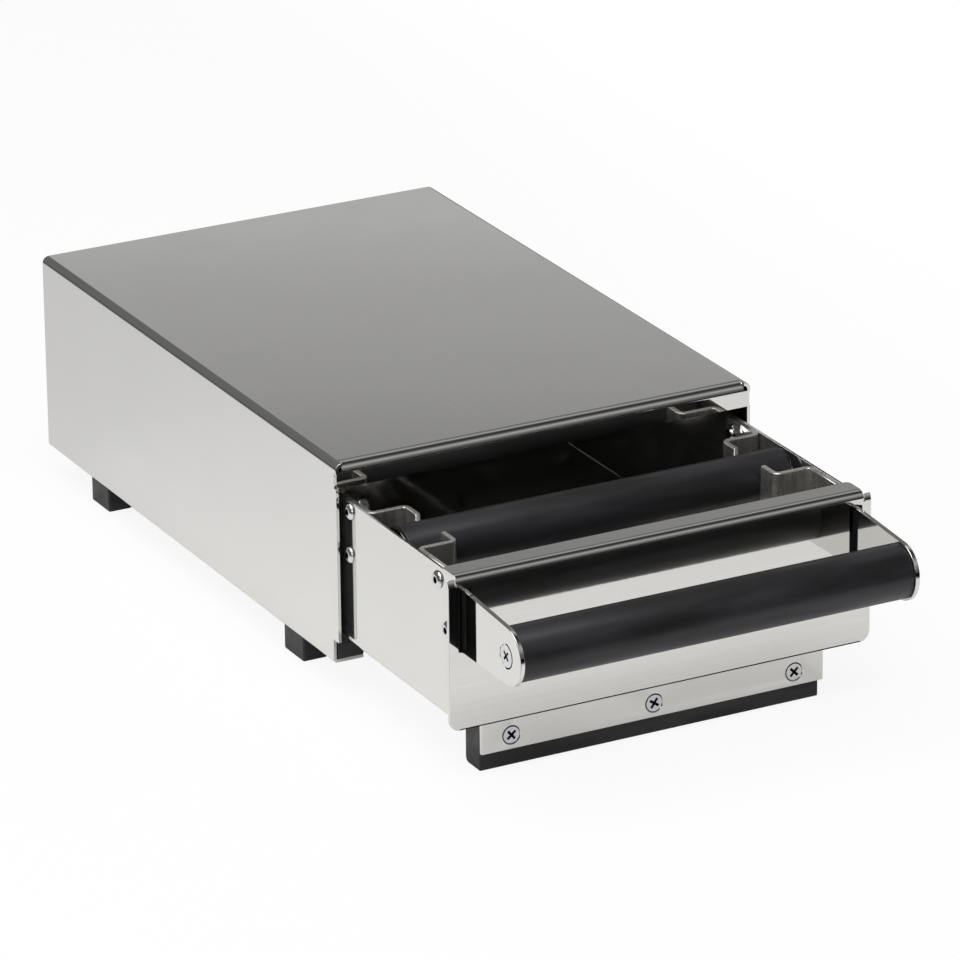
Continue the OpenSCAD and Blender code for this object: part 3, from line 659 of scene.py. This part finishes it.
class KNOCK_OT_casing(bpy.types.Operator):
    """The casing: a folded wrap, the lip bent down at its front and the frame at its rear"""

    bl_idname = "knock_drawer.casing"
    bl_label = "Casing sheets"

    def execute(self, context):
        rim = context.scene.drawer_sizes.cut_rim
        half, front_y, back_y = CASING_HIGH[0], CASING_LOW[1], CASING_HIGH[1]
        low, top, mid, knot = CASING_LOW[2], CASING_HIGH[2], SHEET / 2, SEAM / 2
        flange, margin, step_depth, fold = 17.7 * MM, 14 * MM, 6 * MM, 5.5 * MM
        step, lip_low, bend = low + margin, top - margin, half - 4 * MM
        heights = [z + way for z in (step, lip_low, top - fold) for way in (-knot, knot)]
        side = [(-half + flange, low + mid)]
        side += [(-half + mid, z) for z in (low + mid, *heights, top - mid)]
        side += [(-bend - knot, top - mid), (-bend + knot, top - mid)]
        corners, bends = both_sides(side, [1.5 * MM] + [0] * 6 + [3 * MM, 0, 0])

        def is_top(line):
            return (np.abs(line[:, 0]) < bend) & (line[:, 1] > step)

        def front(line):
            height = line[:, 1]
            by_lip = (height > lip_low) & (height < top - fold)
            upright = np.where(height < step, front_y + step_depth, front_y)
            return np.where(is_top(line), front_y + fold, upright + by_lip * (SHEET - SEAM))

        wrap = folded_sheet(corners, bends, SHEET, front, back_y - SHEET, "y", rim,
                            rim_low=lambda line: np.where(is_top(line), SEAM, rim), rim_high=SEAM)
        nose = [(front_y + fold, top - mid)]
        nose += [(front_y + mid, z) for z in (top - mid, top - fold + knot, top - fold - knot,
                                              lip_low)]

        def lip_end(line):
            return np.where(line[:, 1] > top - fold, bend, half - 0.6 * MM)

        lip = folded_sheet(nose, [fold - mid, 0, 0], SHEET, lambda line: -lip_end(line), lip_end,
                           "x", SEAM)
        window = half - margin
        outline = round_corners(
            [(-half, low), (-window, low), (-window, lip_low), (window, lip_low),
             (window, low), (half, low), (half, top), (-half, top)],
            np.array([2.5, 1.2, 0.5, 0.5, 1.2, 2.5, 4, 4]) * MM)
        rear = plate(outline, back_y - SHEET, back_y, "y", SEAM, rim_high=0.9 * MM)
        make_piece("casing_sheets", "casing_shell", gather([wrap, lip, rear]), "casing",
                   polished_steel)
        low, high = cad_box("rear_panel")
        outline = rectangle(low[[0, 2]], high[[0, 2]], np.array([0.5, 0.5, 2, 2]) * MM)
        make_piece("rear_panel_sheet", "rear_panel", plate(outline, low[1], high[1], "y"),
                   "casing", polished_steel)
        return {"FINISHED"}


class KNOCK_OT_slide_strips(bpy.types.Operator):
    """The black plastic strips on the casing's bottom flanges, with a sloped front end"""

    bl_idname = "knock_drawer.slide_strips"
    bl_label = "Slide strips"

    def execute(self, context):
        slope = 4.3 * MM
        for hand, _ in HANDS:
            node = hand + "_slide_strip"
            low, high = cad_box(node)
            outline = round_corners(
                [(low[1], low[2]), (high[1], low[2]), (high[1], high[2]),
                 (low[1] + slope, high[2]), (low[1], high[2] - slope)], 0.6 * MM)
            make_piece(node + "_runner", node, plate(outline, low[0], high[0], "x", 0.5 * MM),
                       "casing", runner_plastic)
        return {"FINISHED"}


class KNOCK_OT_feet(bpy.types.Operator):
    """Four rubber feet, each hollowed below for the head of its screw"""

    bl_idname = "knock_drawer.feet"
    bl_label = "Rubber feet"

    def execute(self, context):
        rim = context.scene.drawer_sizes.rubber_rim
        hole_r, hole_depth = 4 * MM, 6 * MM
        for node in (f"{end}_{hand}_foot" for end, _ in ENDS for hand, _ in HANDS):
            low, high = cad_box(node)
            hole = ((low + high)[:2] / 2, hole_r, hole_depth, -1)
            block = plate(rectangle(low[:2], high[:2], 1.2 * MM), low[2], high[2], "z", rim,
                          rim_high=0.2 * MM, hole=hole)
            make_piece(node + "_block", node, block, "casing", black_rubber)
        return {"FINISHED"}


class KNOCK_OT_tray(bpy.types.Operator):
    """The drawer's folded tray, with its front and rear walls and its stop tabs"""

    bl_idname = "knock_drawer.tray"
    bl_label = "Drawer tray"

    def execute(self, context):
        rim = context.scene.drawer_sizes.cut_rim
        mid, half, low, high = TRAY_SHEET / 2, TRAY_HIGH[0], TRAY_LOW[2], TRAY_HIGH[2]
        top, ease_r, wall_rim, end_rim = PANEL_HIGH[2] - SHEET, 3.7 * MM, 0.1 * MM, 0.2 * MM
        rise = BEND_Z + ease_r * np.sin(np.linspace(QUARTER, 0, 8))
        side = [(-half + mid, z) for z in (top, top - 0.2 * MM, *rise, low + mid)]
        corners, bends = both_sides(side, [0] * 9 + [1.25 * MM])

        def front(line):
            height = np.clip((line[:, 1] - BEND_Z) / ease_r, 0, 1)
            eased = drawer_y(4) - ease_r * np.sqrt(1 - height ** 2)
            return np.where(height > 0, eased, drawer_y(0))

        def edge(line):
            return np.where(line[:, 1] > top - SEAM, wall_rim, rim)

        inner = half - TRAY_SHEET
        shapes = [folded_sheet(corners, bends, TRAY_SHEET, front, TRAY_HIGH[1], "y", rim,
                               rim_low=edge, rim_high=edge, end_rims=(wall_rim, wall_rim))]
        wall = rectangle((-inner, low + mid), (inner, top), 0.5 * MM)
        for back in (drawer_y(3.5), TRAY_HIGH[1]):
            shapes.append(plate(wall, back - TRAY_SHEET, back, "y", end_rim))
        start, slope, end = (drawer_y(y) for y in (230.5, 244.9, 254.5))
        tab = round_corners([(start, top - mid), (end, top - mid), (end, top), (slope, high),
                             (start, high)], [SEAM, SEAM, SEAM, 2 * MM, 2 * MM])
        for left in (-half, inner):
            shapes.append(plate(tab, left, left + TRAY_SHEET, "x", rim))
        make_piece("drawer_tray_sheets", "drawer_tray", gather(shapes), "drawer", dulled_steel)
        return {"FINISHED"}


class KNOCK_OT_front_panel(bpy.types.Operator):
    """The front panel: a tall face bent back over the drawer, with partly bent ends"""

    bl_idname = "knock_drawer.front_panel"
    bl_label = "Front panel"

    def execute(self, context):
        rim = context.scene.drawer_sizes.cut_rim
        mid, half, low, top = SHEET / 2, PANEL_HIGH[0], PANEL_LOW[2], PANEL_HIGH[2]
        face, knot = PANEL_LOW[1] + mid, SEAM / 2
        flange, corner, far_corner = half - 4.5 * MM, 6 * MM, 2.5 * MM
        angle = np.linspace(0, QUARTER, 9)
        heights = low + corner * (1 - np.cos(angle))
        reach = drawer_y(13.5) - far_corner * (1 - np.sin(angle))
        corners = [(face, z) for z in (*heights, BEND_Z - knot, BEND_Z + knot, top - mid)]
        corners += [(y, top - mid) for y in reach]

        def end(line):
            lower = np.clip((line[:, 1] - low) / corner, 0, 1)
            wide = half - corner * (1 - np.sqrt(1 - (1 - lower) ** 2))
            back = np.clip((line[:, 0] - reach[0]) / far_corner, 0, 1)
            narrow = flange - far_corner * (1 - np.sqrt(1 - back ** 2))
            return np.where(line[:, 1] < BEND_Z, wide, narrow)

        bends = [0] * 10 + [3.5 * MM] + [0] * 8
        shapes = [folded_sheet(corners, bends, SHEET, lambda line: -end(line), end, "x", rim,
                               end_rims=(0.8 * MM, None))]
        turn, radius, gap = math.radians(42), 5 * MM, 0.5 * MM
        run = radius * math.tan(turn / 2)
        bent = [(face, BEND_Z), (face, BEND_Z + run),
                (face + run * math.sin(turn), BEND_Z + run + run * math.cos(turn))]
        for ends in ((-half, -flange - gap), (flange + gap, half)):
            shapes.append(folded_sheet(bent, [radius], SHEET, *ends, "x", rim,
                                       end_rims=(SEAM, None)))
        make_piece("front_panel_sheet", "front_panel", gather(shapes), "drawer", streaked_steel)
        return {"FINISHED"}


class KNOCK_OT_handle(bpy.types.Operator):
    """The handle: two plates with a rounded nose, and the rubber grip between them"""

    bl_idname = "knock_drawer.handle"
    bl_label = "Handle"

    def execute(self, context):
        low, _ = cad_box("left_handle_plate")
        nose_r, hole_r, hole_depth, seam_r, corner_r = np.array([16, 6.9, 0.7, 2.6, 0.4]) * MM
        nose = low[1:] + nose_r
        root = np.array([PANEL_LOW[1], 105.8 * MM])
        away = root - nose
        tangent = math.atan2(away[1], away[0]) + math.acos(nose_r / np.linalg.norm(away))
        touch = nose + nose_r * np.array([math.cos(tangent), math.sin(tangent)])
        slope = (root - touch) / (root - touch)[0]
        apex = touch + slope * (low[2] - touch[1]) / slope[1]
        outline = round_corners([(root[0], low[2]), root, apex], [corner_r, corner_r, nose_r], 60)
        for hand, way in HANDS:
            node = hand + "_handle_plate"
            low, high = cad_box(node)
            shapes = [plate(outline, low[0], high[0], "x", hole=(nose, hole_r, hole_depth, way))]
            for face, turn in ((low[0], -1), (high[0], 1)):
                line = seam_line(np.array([face, root[0]]), turn, seam_r)
                seam = plate(line, low[2] + 1 * MM, root[1], "z", 0.1 * MM)
                # Painted shade: the whole hollow seam is black, for the shade in the crease between
                # plate and panel.
                shapes.append(seam._replace(grime=np.ones(len(seam.points))))
            make_piece(node + "_sheet", node, gather(shapes), "drawer", polished_steel)
        round_bar("grip_rubber", "grip_sleeve", "drawer", 0.6 * MM)
        return {"FINISHED"}


def round_bar(name, node, body, rim):
    """A rubber bar along x in a frame node's box, whose end edges are quarter circles."""
    low, high = cad_box(node)
    radius = (high[2] - low[2]) / 2
    ends = [(high[0] - rim * (1 - math.cos(a)), radius - rim * (1 - math.sin(a)))
            for a in np.linspace(0, QUARTER, 5)]
    bar = turned([(-h, r) for h, r in ends] + ends[::-1], BAR_STEPS)
    make_piece(name, node, laid(bar, (1, 0, 0), (low + high) / 2 * (0, 1, 1)), body, black_rubber)


class KNOCK_OT_brackets(bpy.types.Operator):
    """Four folded brackets whose seats carry the bar"""

    bl_idname = "knock_drawer.brackets"
    bl_label = "Brackets"

    def execute(self, context):
        rim, mid = context.scene.drawer_sizes.cut_rim, BRACKET_SHEET / 2
        low, high = cad_box("knock_bar_sleeve")
        _, bar_y, bar_z = (low + high) / 2
        seat_r = (high[2] - low[2]) / 2 + 0.25 * MM
        inner, reach, fold = TRAY_HIGH[0] - TRAY_SHEET, 23.8 * MM, 27.5 * MM
        wall, seat = inner - mid, inner - reach + mid
        angle = np.linspace(math.asin(2 * MM / seat_r), QUARTER, 12)
        seat_y = seat_r * np.sin(angle[::-1])
        for end, back in ENDS:
            for hand, side in HANDS:
                node = f"{end}_{hand}_bracket"
                low, high = cad_box(node)
                far = abs((high[1] if back > 0 else low[1]) - bar_y)
                plan = [(wall, far), (wall, fold), (seat, fold), (seat, seat_r + SEAM)]
                plan += [(seat, y) for y in seat_y]

                def top(line):
                    away = np.abs(line[:, 1] - bar_y)
                    inside = (away <= seat_r + SEAM / 2) & (np.abs(line[:, 0]) < seat + mid)
                    sunk = bar_z - np.sqrt(np.clip(seat_r ** 2 - away ** 2, 0, None))
                    return np.where(inside, sunk, high[2])

                placed = [(side * x, bar_y + back * y) for x, y in plan]
                bends = [3 * MM, 3 * MM] + [0] * (len(plan) - 4)
                bracket = folded_sheet(placed, bends, BRACKET_SHEET, low[2], top, "z", rim,
                                       rim_high=0.55 * MM)
                make_piece(node + "_plate", node, bracket, "drawer", bracket_steel)
        return {"FINISHED"}


class KNOCK_OT_knock_bar(bpy.types.Operator):
    """The knock bar: a rubber sleeve with a bright cap at each end"""

    bl_idname = "knock_drawer.knock_bar"
    bl_label = "Knock bar"

    def execute(self, context):
        round_bar("knock_bar_rubber", "knock_bar_sleeve", "knock_bar", 0.5 * MM)
        low, high = cad_box("knock_bar_sleeve")
        cap_r, plug_r = (high[2] - low[2]) / 2 - 0.6 * MM, 7.9 * MM
        for hand, way in HANDS:
            node = hand + "_bar_end_cap"
            low, high = cad_box(node)
            plug, end = sorted(np.abs([low[0], high[0]]))
            start = end - 1.5 * MM
            # The third numbers are painted shade, darkening the cap's rim and end face.
            rings = [(plug, plug_r), (start, plug_r), (start, cap_r - 0.3 * MM, 0.9),
                     (start + 0.3 * MM, cap_r, 0.9), (end - 0.4 * MM, cap_r, 0.9),
                     (end - 0.1 * MM, cap_r - 0.1 * MM, 0.8), (end, cap_r - 0.5 * MM, 0.6),
                     (end, cap_r / 2, 0.4)]
            cap = laid(turned(rings, BAR_STEPS), (way, 0, 0), (low + high) / 2 * (0, 1, 1))
            make_piece(node + "_disc", node, cap, "knock_bar", screw_steel)
        return {"FINISHED"}


class KNOCK_OT_apron(bpy.types.Operator):
    """The steel strip below the front panel, and the rubber block behind it"""

    bl_idname = "knock_drawer.apron"
    bl_label = "Apron"

    def execute(self, context):
        eased_copy("apron_strip_sheet", "apron_strip", "drawer", polished_steel, 0.25 * MM)
        low, high = cad_box("apron_block")
        outline = rectangle(low[1:], high[1:], np.array([1, 3, 1, 0.5]) * MM)
        block = plate(outline, low[0], high[0], "x", context.scene.drawer_sizes.rubber_rim)
        make_piece("apron_rubber", "apron_block", block, "drawer", black_rubber)
        return {"FINISHED"}


def fasteners(name, node, body, axis, facing, height, rings_of, steps, spins):
    """One piece of a frame node's separate solids, from left to right, each turned anew.

    A solid's rings follow from its length. They start a height below its outer end, which faces
    1 or -1 along y or z, and 1 outwards or -1 inwards along x."""
    index = "xyz".index(axis)
    shapes = []
    solids = sorted(zip(*cad_solids(node)), key=lambda corners: tuple(corners[0]))
    for spin, (low, high) in zip(spins, solids):
        place = (low + high) / 2
        way = facing * (math.copysign(1, place[index]) if axis == "x" else 1)
        place[index] = (high[index] if way > 0 else low[index]) - way * height
        direction = np.zeros(3)
        direction[index] = way
        rings = rings_of(high[index] - low[index])
        shapes.append(laid(turned(rings, steps), direction, place, spin))
    make_piece(name, node, gather(shapes), body, screw_steel)


def turns(first, step):
    """Angles for up to eight fasteners, each a step further round."""
    return [first + step * index for index in range(8)]


def round_head(head_r, head_h, socket, shank_r, length):
    """Rings of a round-headed screw: a sunk hexagon, a head whose radius falls by an ellipse to
    two thirds, and a shank. Painted shade blackens the socket and darkens the head's lowest rings
    and the shank, under the head's rim."""
    crown = 0.66
    dome = [(head_h * t, head_r * math.sqrt(1 - (1 - crown ** 2) * t * t))
            for t in np.linspace(1, 0, 7)]
    crown_r = dome[0][1] - 0.25 * MM
    return [(head_h - SOCKET_DEPTH, hexagon(socket), 1.0), (head_h - LIFT, hexagon(socket), 1.0),
            (head_h, hexagon(socket + 0.3 * MM), 0.6), (head_h, hexagon(socket + 0.6 * MM)),
            (head_h, crown_r), (head_h - 0.12 * MM, crown_r + 0.22 * MM), *dome[1:-2],
            (*dome[-2], 0.4), (*dome[-1], 0.9), (0, shank_r, 0.9),
            (head_h - length + TIP, shank_r), (head_h - length, shank_r - TIP)]


def flat_head(slot, head_r, head_h, shank_r, length):
    """Rings of a flat-headed screw: a sunk cross, a flat face, a chamfer and a cone down to
    the shank. Painted shade blackens the cross and the chamfer, where shade falls in the recess and
    around the head."""
    def recess(more):
        return cross(slot.cross_length + more, slot.cross_width + more)

    return [(-SOCKET_DEPTH, cross(slot.cross_length * 0.7, slot.cross_width * 0.8), 1.0),
            (-LIFT, recess(0), 1.0), (0, recess(0.2 * MM), 0.8), (0, recess(0.5 * MM)),
            (0, head_r - 0.65 * MM), (-0.12 * MM, head_r - 0.5 * MM, 1.0),
            (-0.4 * MM, head_r - 0.1 * MM, 1.0), (-0.5 * MM, head_r - 0.5 * MM, 1.0),
            (-head_h, head_r - head_h), (-head_h, shank_r),
            (TIP - length, shank_r), (-length, shank_r - TIP)]


def nut(width, height, bore):
    """Rings of a nut: hexagons whose corners are turned down at both ends, first to a circle a
    little wider than the flats and then to the round end face."""
    sides, chamfer, end_r = hexagon(width), 0.5 * MM, width * 0.48

    def eased(angle):
        return np.minimum(sides(angle), width * 0.53)

    return [(0, end_r), (chamfer / 2, eased), (chamfer, sides), (height - chamfer, sides),
            (height - chamfer / 2, eased), (height, end_r), (height, bore),
            (height - 0.4 * MM, bore - 0.3 * MM)]


class KNOCK_OT_screws(bpy.types.Operator):
    """All screws: round heads with hexagon sockets and flat heads with cross recesses"""

    bl_idname = "knock_drawer.screws"
    bl_label = "Screws"

    def execute(self, context):
        sizes = context.scene.drawer_sizes
        rows = [("bracket_screws", "drawer", "x", 1, 1.9 * MM, 4.8 * MM, 3 * MM, 1, 0.4),
                ("rear_panel_screws", "casing", "y", 1, 2.2 * MM, 3.8 * MM, 2 * MM, 0.76, 0.2),
                ("foot_screws", "casing", "z", -1, 2.2 * MM, 3.8 * MM, 2 * MM, 0.76, 0.7)]
        for node, body, axis, facing, head_h, head_r, shank_r, share, spin in rows:
            socket = sizes.socket_width * share
            fasteners(node + "_round", node, body, axis, facing, head_h,
                      lambda length: round_head(head_r, head_h, socket, shank_r, length),
                      ROUND_STEPS, turns(spin, 0.9))
        rows = [("apron_screws", "y", -1, 5.2 * MM, 2 * MM, 2.5 * MM, (0.71, 0.98, 0.8)),
                ("grip_screws", "x", 1, 6.7 * MM, 2.5 * MM, 3 * MM, (0.83, 0.3))]
        for node, axis, facing, head_r, head_h, shank_r, spins in rows:
            fasteners(node + "_flat", node, "drawer", axis, facing, 0,
                      lambda length: flat_head(sizes, head_r, head_h, shank_r, length),
                      CROSS_STEPS, spins)
        return {"FINISHED"}


class KNOCK_OT_nuts(bpy.types.Operator):
    """All nuts, with their corners turned down"""

    bl_idname = "knock_drawer.nuts"
    bl_label = "Nuts"

    def execute(self, context):
        rows = [("bracket_nuts", "drawer", "x", -1, 5 * MM, 10 * MM, 3.1 * MM),
                ("apron_nuts", "drawer", "y", 1, 4 * MM, 8 * MM, 2.6 * MM),
                ("front_panel_nuts", "drawer", "y", 1, 4 * MM, 8 * MM, 2.6 * MM),
                ("rear_panel_nuts", "casing", "y", -1, 3.2 * MM, 7 * MM, 2.1 * MM)]
        for node, body, axis, facing, height, width, bore in rows:
            fasteners(node + "_hexagon", node, body, axis, facing, height,
                      lambda length: nut(width, height, bore), NUT_STEPS, turns(0.3, 0.7))
        return {"FINISHED"}


class KNOCK_OT_inner_parts(bpy.types.Operator):
    """The finishes of the parts that stay as the frame gives them"""

    bl_idname = "knock_drawer.inner_parts"
    bl_label = "Inner parts"

    def execute(self, context):
        for node, finish in (("grip_rod", bracket_steel), ("knock_bar_core", bracket_steel),
                             ("front_panel_studs", screw_steel)):
            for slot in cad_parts[node].material_slots:
                slot.material = material_of(finish)
        return {"FINISHED"}


class KNOCK_OT_stage(bpy.types.Operator):
    """The floor, the soft studio light and the camera"""

    bl_idname = "knock_drawer.stage"
    bl_label = "Stage"

    def execute(self, context):
        scene = context.scene
        scene.view_settings.view_transform = "Standard"
        reach = 1.5
        flat_stage(scene, "floor", [(-reach, -reach, 0), (reach, -reach, 0), (reach, reach, 0),
                                    (-reach, reach, 0)], studio_floor())
        studio_air(scene)
        soft_light(scene, "overhead", (-0.7, -0.4, 2.4), 2.6, 66.0)
        soft_light(scene, "front", (-2.0, -2.4, 1.2), 1.6, 14.0)
        dark_card(scene, "side_card", [(-0.19, -0.7), (-0.19, -0.27)], 0.16)
        dark_card(scene, "front_card", [(0.8, -0.74), (-0.1, -0.74)], 0.12)
        scene.camera = photo_camera(scene)
        return {"FINISHED"}


def flat_stage(scene, name, corners, material):
    """One flat face that belongs to the studio."""
    flat = bpy.data.objects.new(name, bpy.data.meshes.new(name))
    flat.data.from_pydata(corners, [], [(0, 1, 2, 3)])
    flat.data.materials.append(material)
    scene.collection.objects.link(flat)
    flat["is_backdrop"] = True
    return flat


def soft_light(scene, name, place, size, power):
    """A wide square lamp turned to the object."""
    lamp = bpy.data.lights.new(name, "AREA")
    lamp.energy, lamp.size = power, size
    holder = bpy.data.objects.new(name, lamp)
    holder.location = place
    low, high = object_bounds()
    away = holder.location - low.lerp(high, 0.5)
    holder.rotation_euler = away.to_track_quat("Z", "Y").to_euler()
    scene.collection.objects.link(holder)


def dark_card(scene, name, ends, top):
    """A black card on the floor that only the polished sheets mirror, from its right side as seen
    from its first end to its last."""
    material, nodes, _ = new_material(name)
    black = nodes.add("ShaderNodeBsdfDiffuse", None, Color=(0.01, 0.01, 0.01, 1))["BSDF"]
    clear = nodes.add("ShaderNodeBsdfTransparent")["BSDF"]
    behind = nodes.add("ShaderNodeNewGeometry")["Backfacing"]
    nodes.end_mixed("Material", behind, black, clear)
    low = 1 * MM
    corners = [(*end, low) for end in ends] + [(*end, top) for end in ends[::-1]]
    card = flat_stage(scene, name, corners, material)
    card.visible_camera = card.visible_diffuse = card.visible_shadow = False


def studio_floor():
    """A white floor that shows the object's shadow faintly to the camera. What the sheets mirror
    of it turns dark far to the sides and in front, and a little darker behind."""
    material, nodes, place = new_material("studio_floor")
    spot = nodes.add("ShaderNodeSeparateXYZ", None, Vector=place)
    aside = nodes.between(spot["X"].maths("ABSOLUTE", spot["X"]), 0.28, 0.56, 0.0, 1.0)
    ahead = nodes.between(spot["Y"], -0.65, -0.45, 1.0, 0.0)
    behind = nodes.between(spot["Y"], -0.1, 0.5, 0.0, 0.32)
    far = aside + ahead - aside * ahead
    dim = behind + far * (0.905 - behind)
    white = nodes.add("ShaderNodeBsdfDiffuse", None,
                      Color=(*bpy.context.scene.drawer_finish.floor, 1.0))["BSDF"]
    ray = nodes.add("ShaderNodeLightPath")
    seen, mirrored = ray["Is Camera Ray"], ray["Is Glossy Ray"]
    shade = mirrored * dim
    tint = nodes.blended(shade, (1, 1, 1, 1), (0.93, 0.93, 1.07, 1))
    clear = nodes.add("ShaderNodeEmission", None, Color=tint, Strength=1.0 - shade)["Emission"]
    share = seen * (far * 0.1 + 0.9) + mirrored * (dim * 0.88 + 0.2)
    nodes.end_mixed("Material", share, white, clear)
    return material


def studio_air(scene):
    """Light from all round. To the right it is what the level sheets and bends mirror: a band low
    down that darkens upwards, and over it an arch with a dark and a bright part. Elsewhere it is
    a grey belt. The camera sees plain white."""
    scene.world = bpy.data.worlds.new("studio_air")
    scene.world.use_nodes = True
    nodes = Nodes(scene.world.node_tree)
    spot = nodes.add("ShaderNodeTexCoord")["Generated"]
    spot = nodes.add("ShaderNodeSeparateXYZ", None, Vector=spot)
    belt = nodes.greys(spot["Z"], [(0.0, 0.12), (0.19, 0.165), (0.36, 0.17), (0.49, 0.155),
                                   (0.56, 0.18), (0.64, 0.1), (0.84, 0.12), (0.9, 0.2)])
    low = nodes.greys(spot["Z"], [(0.0, 0.2), (0.332, 0.55), (0.339, 0.46), (0.347, 0.43),
                                  (0.357, 0.385), (0.364, 0.32), (0.4, 0.24)])
    turn = spot["Z"].maths("ARCTAN2", spot["Z"], spot["Y"]) * (1 / math.pi)
    arch = nodes.greys(turn, [(0.14, 0.19), (0.24, 0.19), (0.31, 0.27), (0.36, 0.42), (0.41, 0.44),
                              (0.45, 0.2), (0.5, 0.05), (0.58, 0.042), (0.64, 0.1), (0.7, 0.26),
                              (0.74, 0.43), (0.79, 0.44), (0.85, 0.27), (0.91, 0.14), (0.97, 0.1)])
    card = nodes.blended(nodes.between(turn, 0.14, 0.17, 0.0, 1.0), low, arch)
    side = nodes.between(spot["X"], 0.2, 0.36, 0.0, 1.0)
    shade = nodes.blended(side, belt, card)
    lit = nodes.add("ShaderNodeBackground", None, Color=shade, Strength=1.0)["Background"]
    seen = nodes.add("ShaderNodeBackground", None, Color=(1, 1, 1, 1), Strength=1.0)["Background"]
    direct = nodes.add("ShaderNodeLightPath")["Is Camera Ray"]
    nodes.end_mixed("World", direct, lit, seen)


def photo_camera(scene):
    """The camera at the photograph's angle: turned, raised and rolled by three angles."""
    turn, rise, roll = np.radians([-27.709, 21.636, -0.566])
    place = (-1.5750, -3.01405, 1.4166)
    back = np.array([math.sin(turn) * math.cos(rise), -math.cos(turn) * math.cos(rise),
                     math.sin(rise)])
    right = np.array([math.cos(turn), math.sin(turn), 0.0])
    up = np.cross(back, right)
    rolled = math.cos(roll) * right + math.sin(roll) * up
    upright = math.cos(roll) * up - math.sin(roll) * right
    data = bpy.data.cameras.new("photo_camera")
    data.lens, data.sensor_width = 252.14, 36.0
    data.clip_start, data.clip_end = 0.05, 60.0
    camera = bpy.data.objects.new("photo_camera", data)
    scene.collection.objects.link(camera)
    camera.matrix_world = Matrix([*np.stack([rolled, upright, back, place], 1), (0, 0, 0, 1)])
    return camera


class KNOCK_PT_pieces(bpy.types.Panel):
    """Sizes, finishes and pieces of the knock box drawer"""

    bl_idname = "KNOCK_PT_pieces"
    bl_label = "Knock box drawer"
    bl_space_type = "VIEW_3D"
    bl_region_type = "UI"
    bl_category = "Knock drawer"

    def draw(self, context):
        for group in (context.scene.drawer_sizes, context.scene.drawer_finish):
            for name in type(group).__annotations__:
                self.layout.prop(group, name)
        for operator in OPERATORS:
            self.layout.operator(operator.bl_idname)


OPERATORS = (KNOCK_OT_casing, KNOCK_OT_slide_strips, KNOCK_OT_feet, KNOCK_OT_tray,
             KNOCK_OT_front_panel, KNOCK_OT_handle, KNOCK_OT_brackets, KNOCK_OT_knock_bar,
             KNOCK_OT_apron, KNOCK_OT_screws, KNOCK_OT_nuts, KNOCK_OT_inner_parts, KNOCK_OT_stage)
CLASSES = (DrawerSizes, DrawerFinish, *OPERATORS, KNOCK_PT_pieces)


def register():
    for one in CLASSES:
        bpy.utils.register_class(one)
    bpy.types.Scene.drawer_sizes = bpy.props.PointerProperty(type=DrawerSizes)
    bpy.types.Scene.drawer_finish = bpy.props.PointerProperty(type=DrawerFinish)


def unregister():
    del bpy.types.Scene.drawer_finish
    del bpy.types.Scene.drawer_sizes
    for one in reversed(CLASSES):
        bpy.utils.unregister_class(one)


def main():
    register()
    made = bpy.ops.knock_drawer
    made.casing()
    made.slide_strips()
    made.feet()
    made.tray()
    made.front_panel()
    made.handle()
    made.brackets()
    made.knock_bar()
    made.apron()
    made.screws()
    made.nuts()
    made.inner_parts()
    made.stage()


if __name__ == "__main__":
    main()
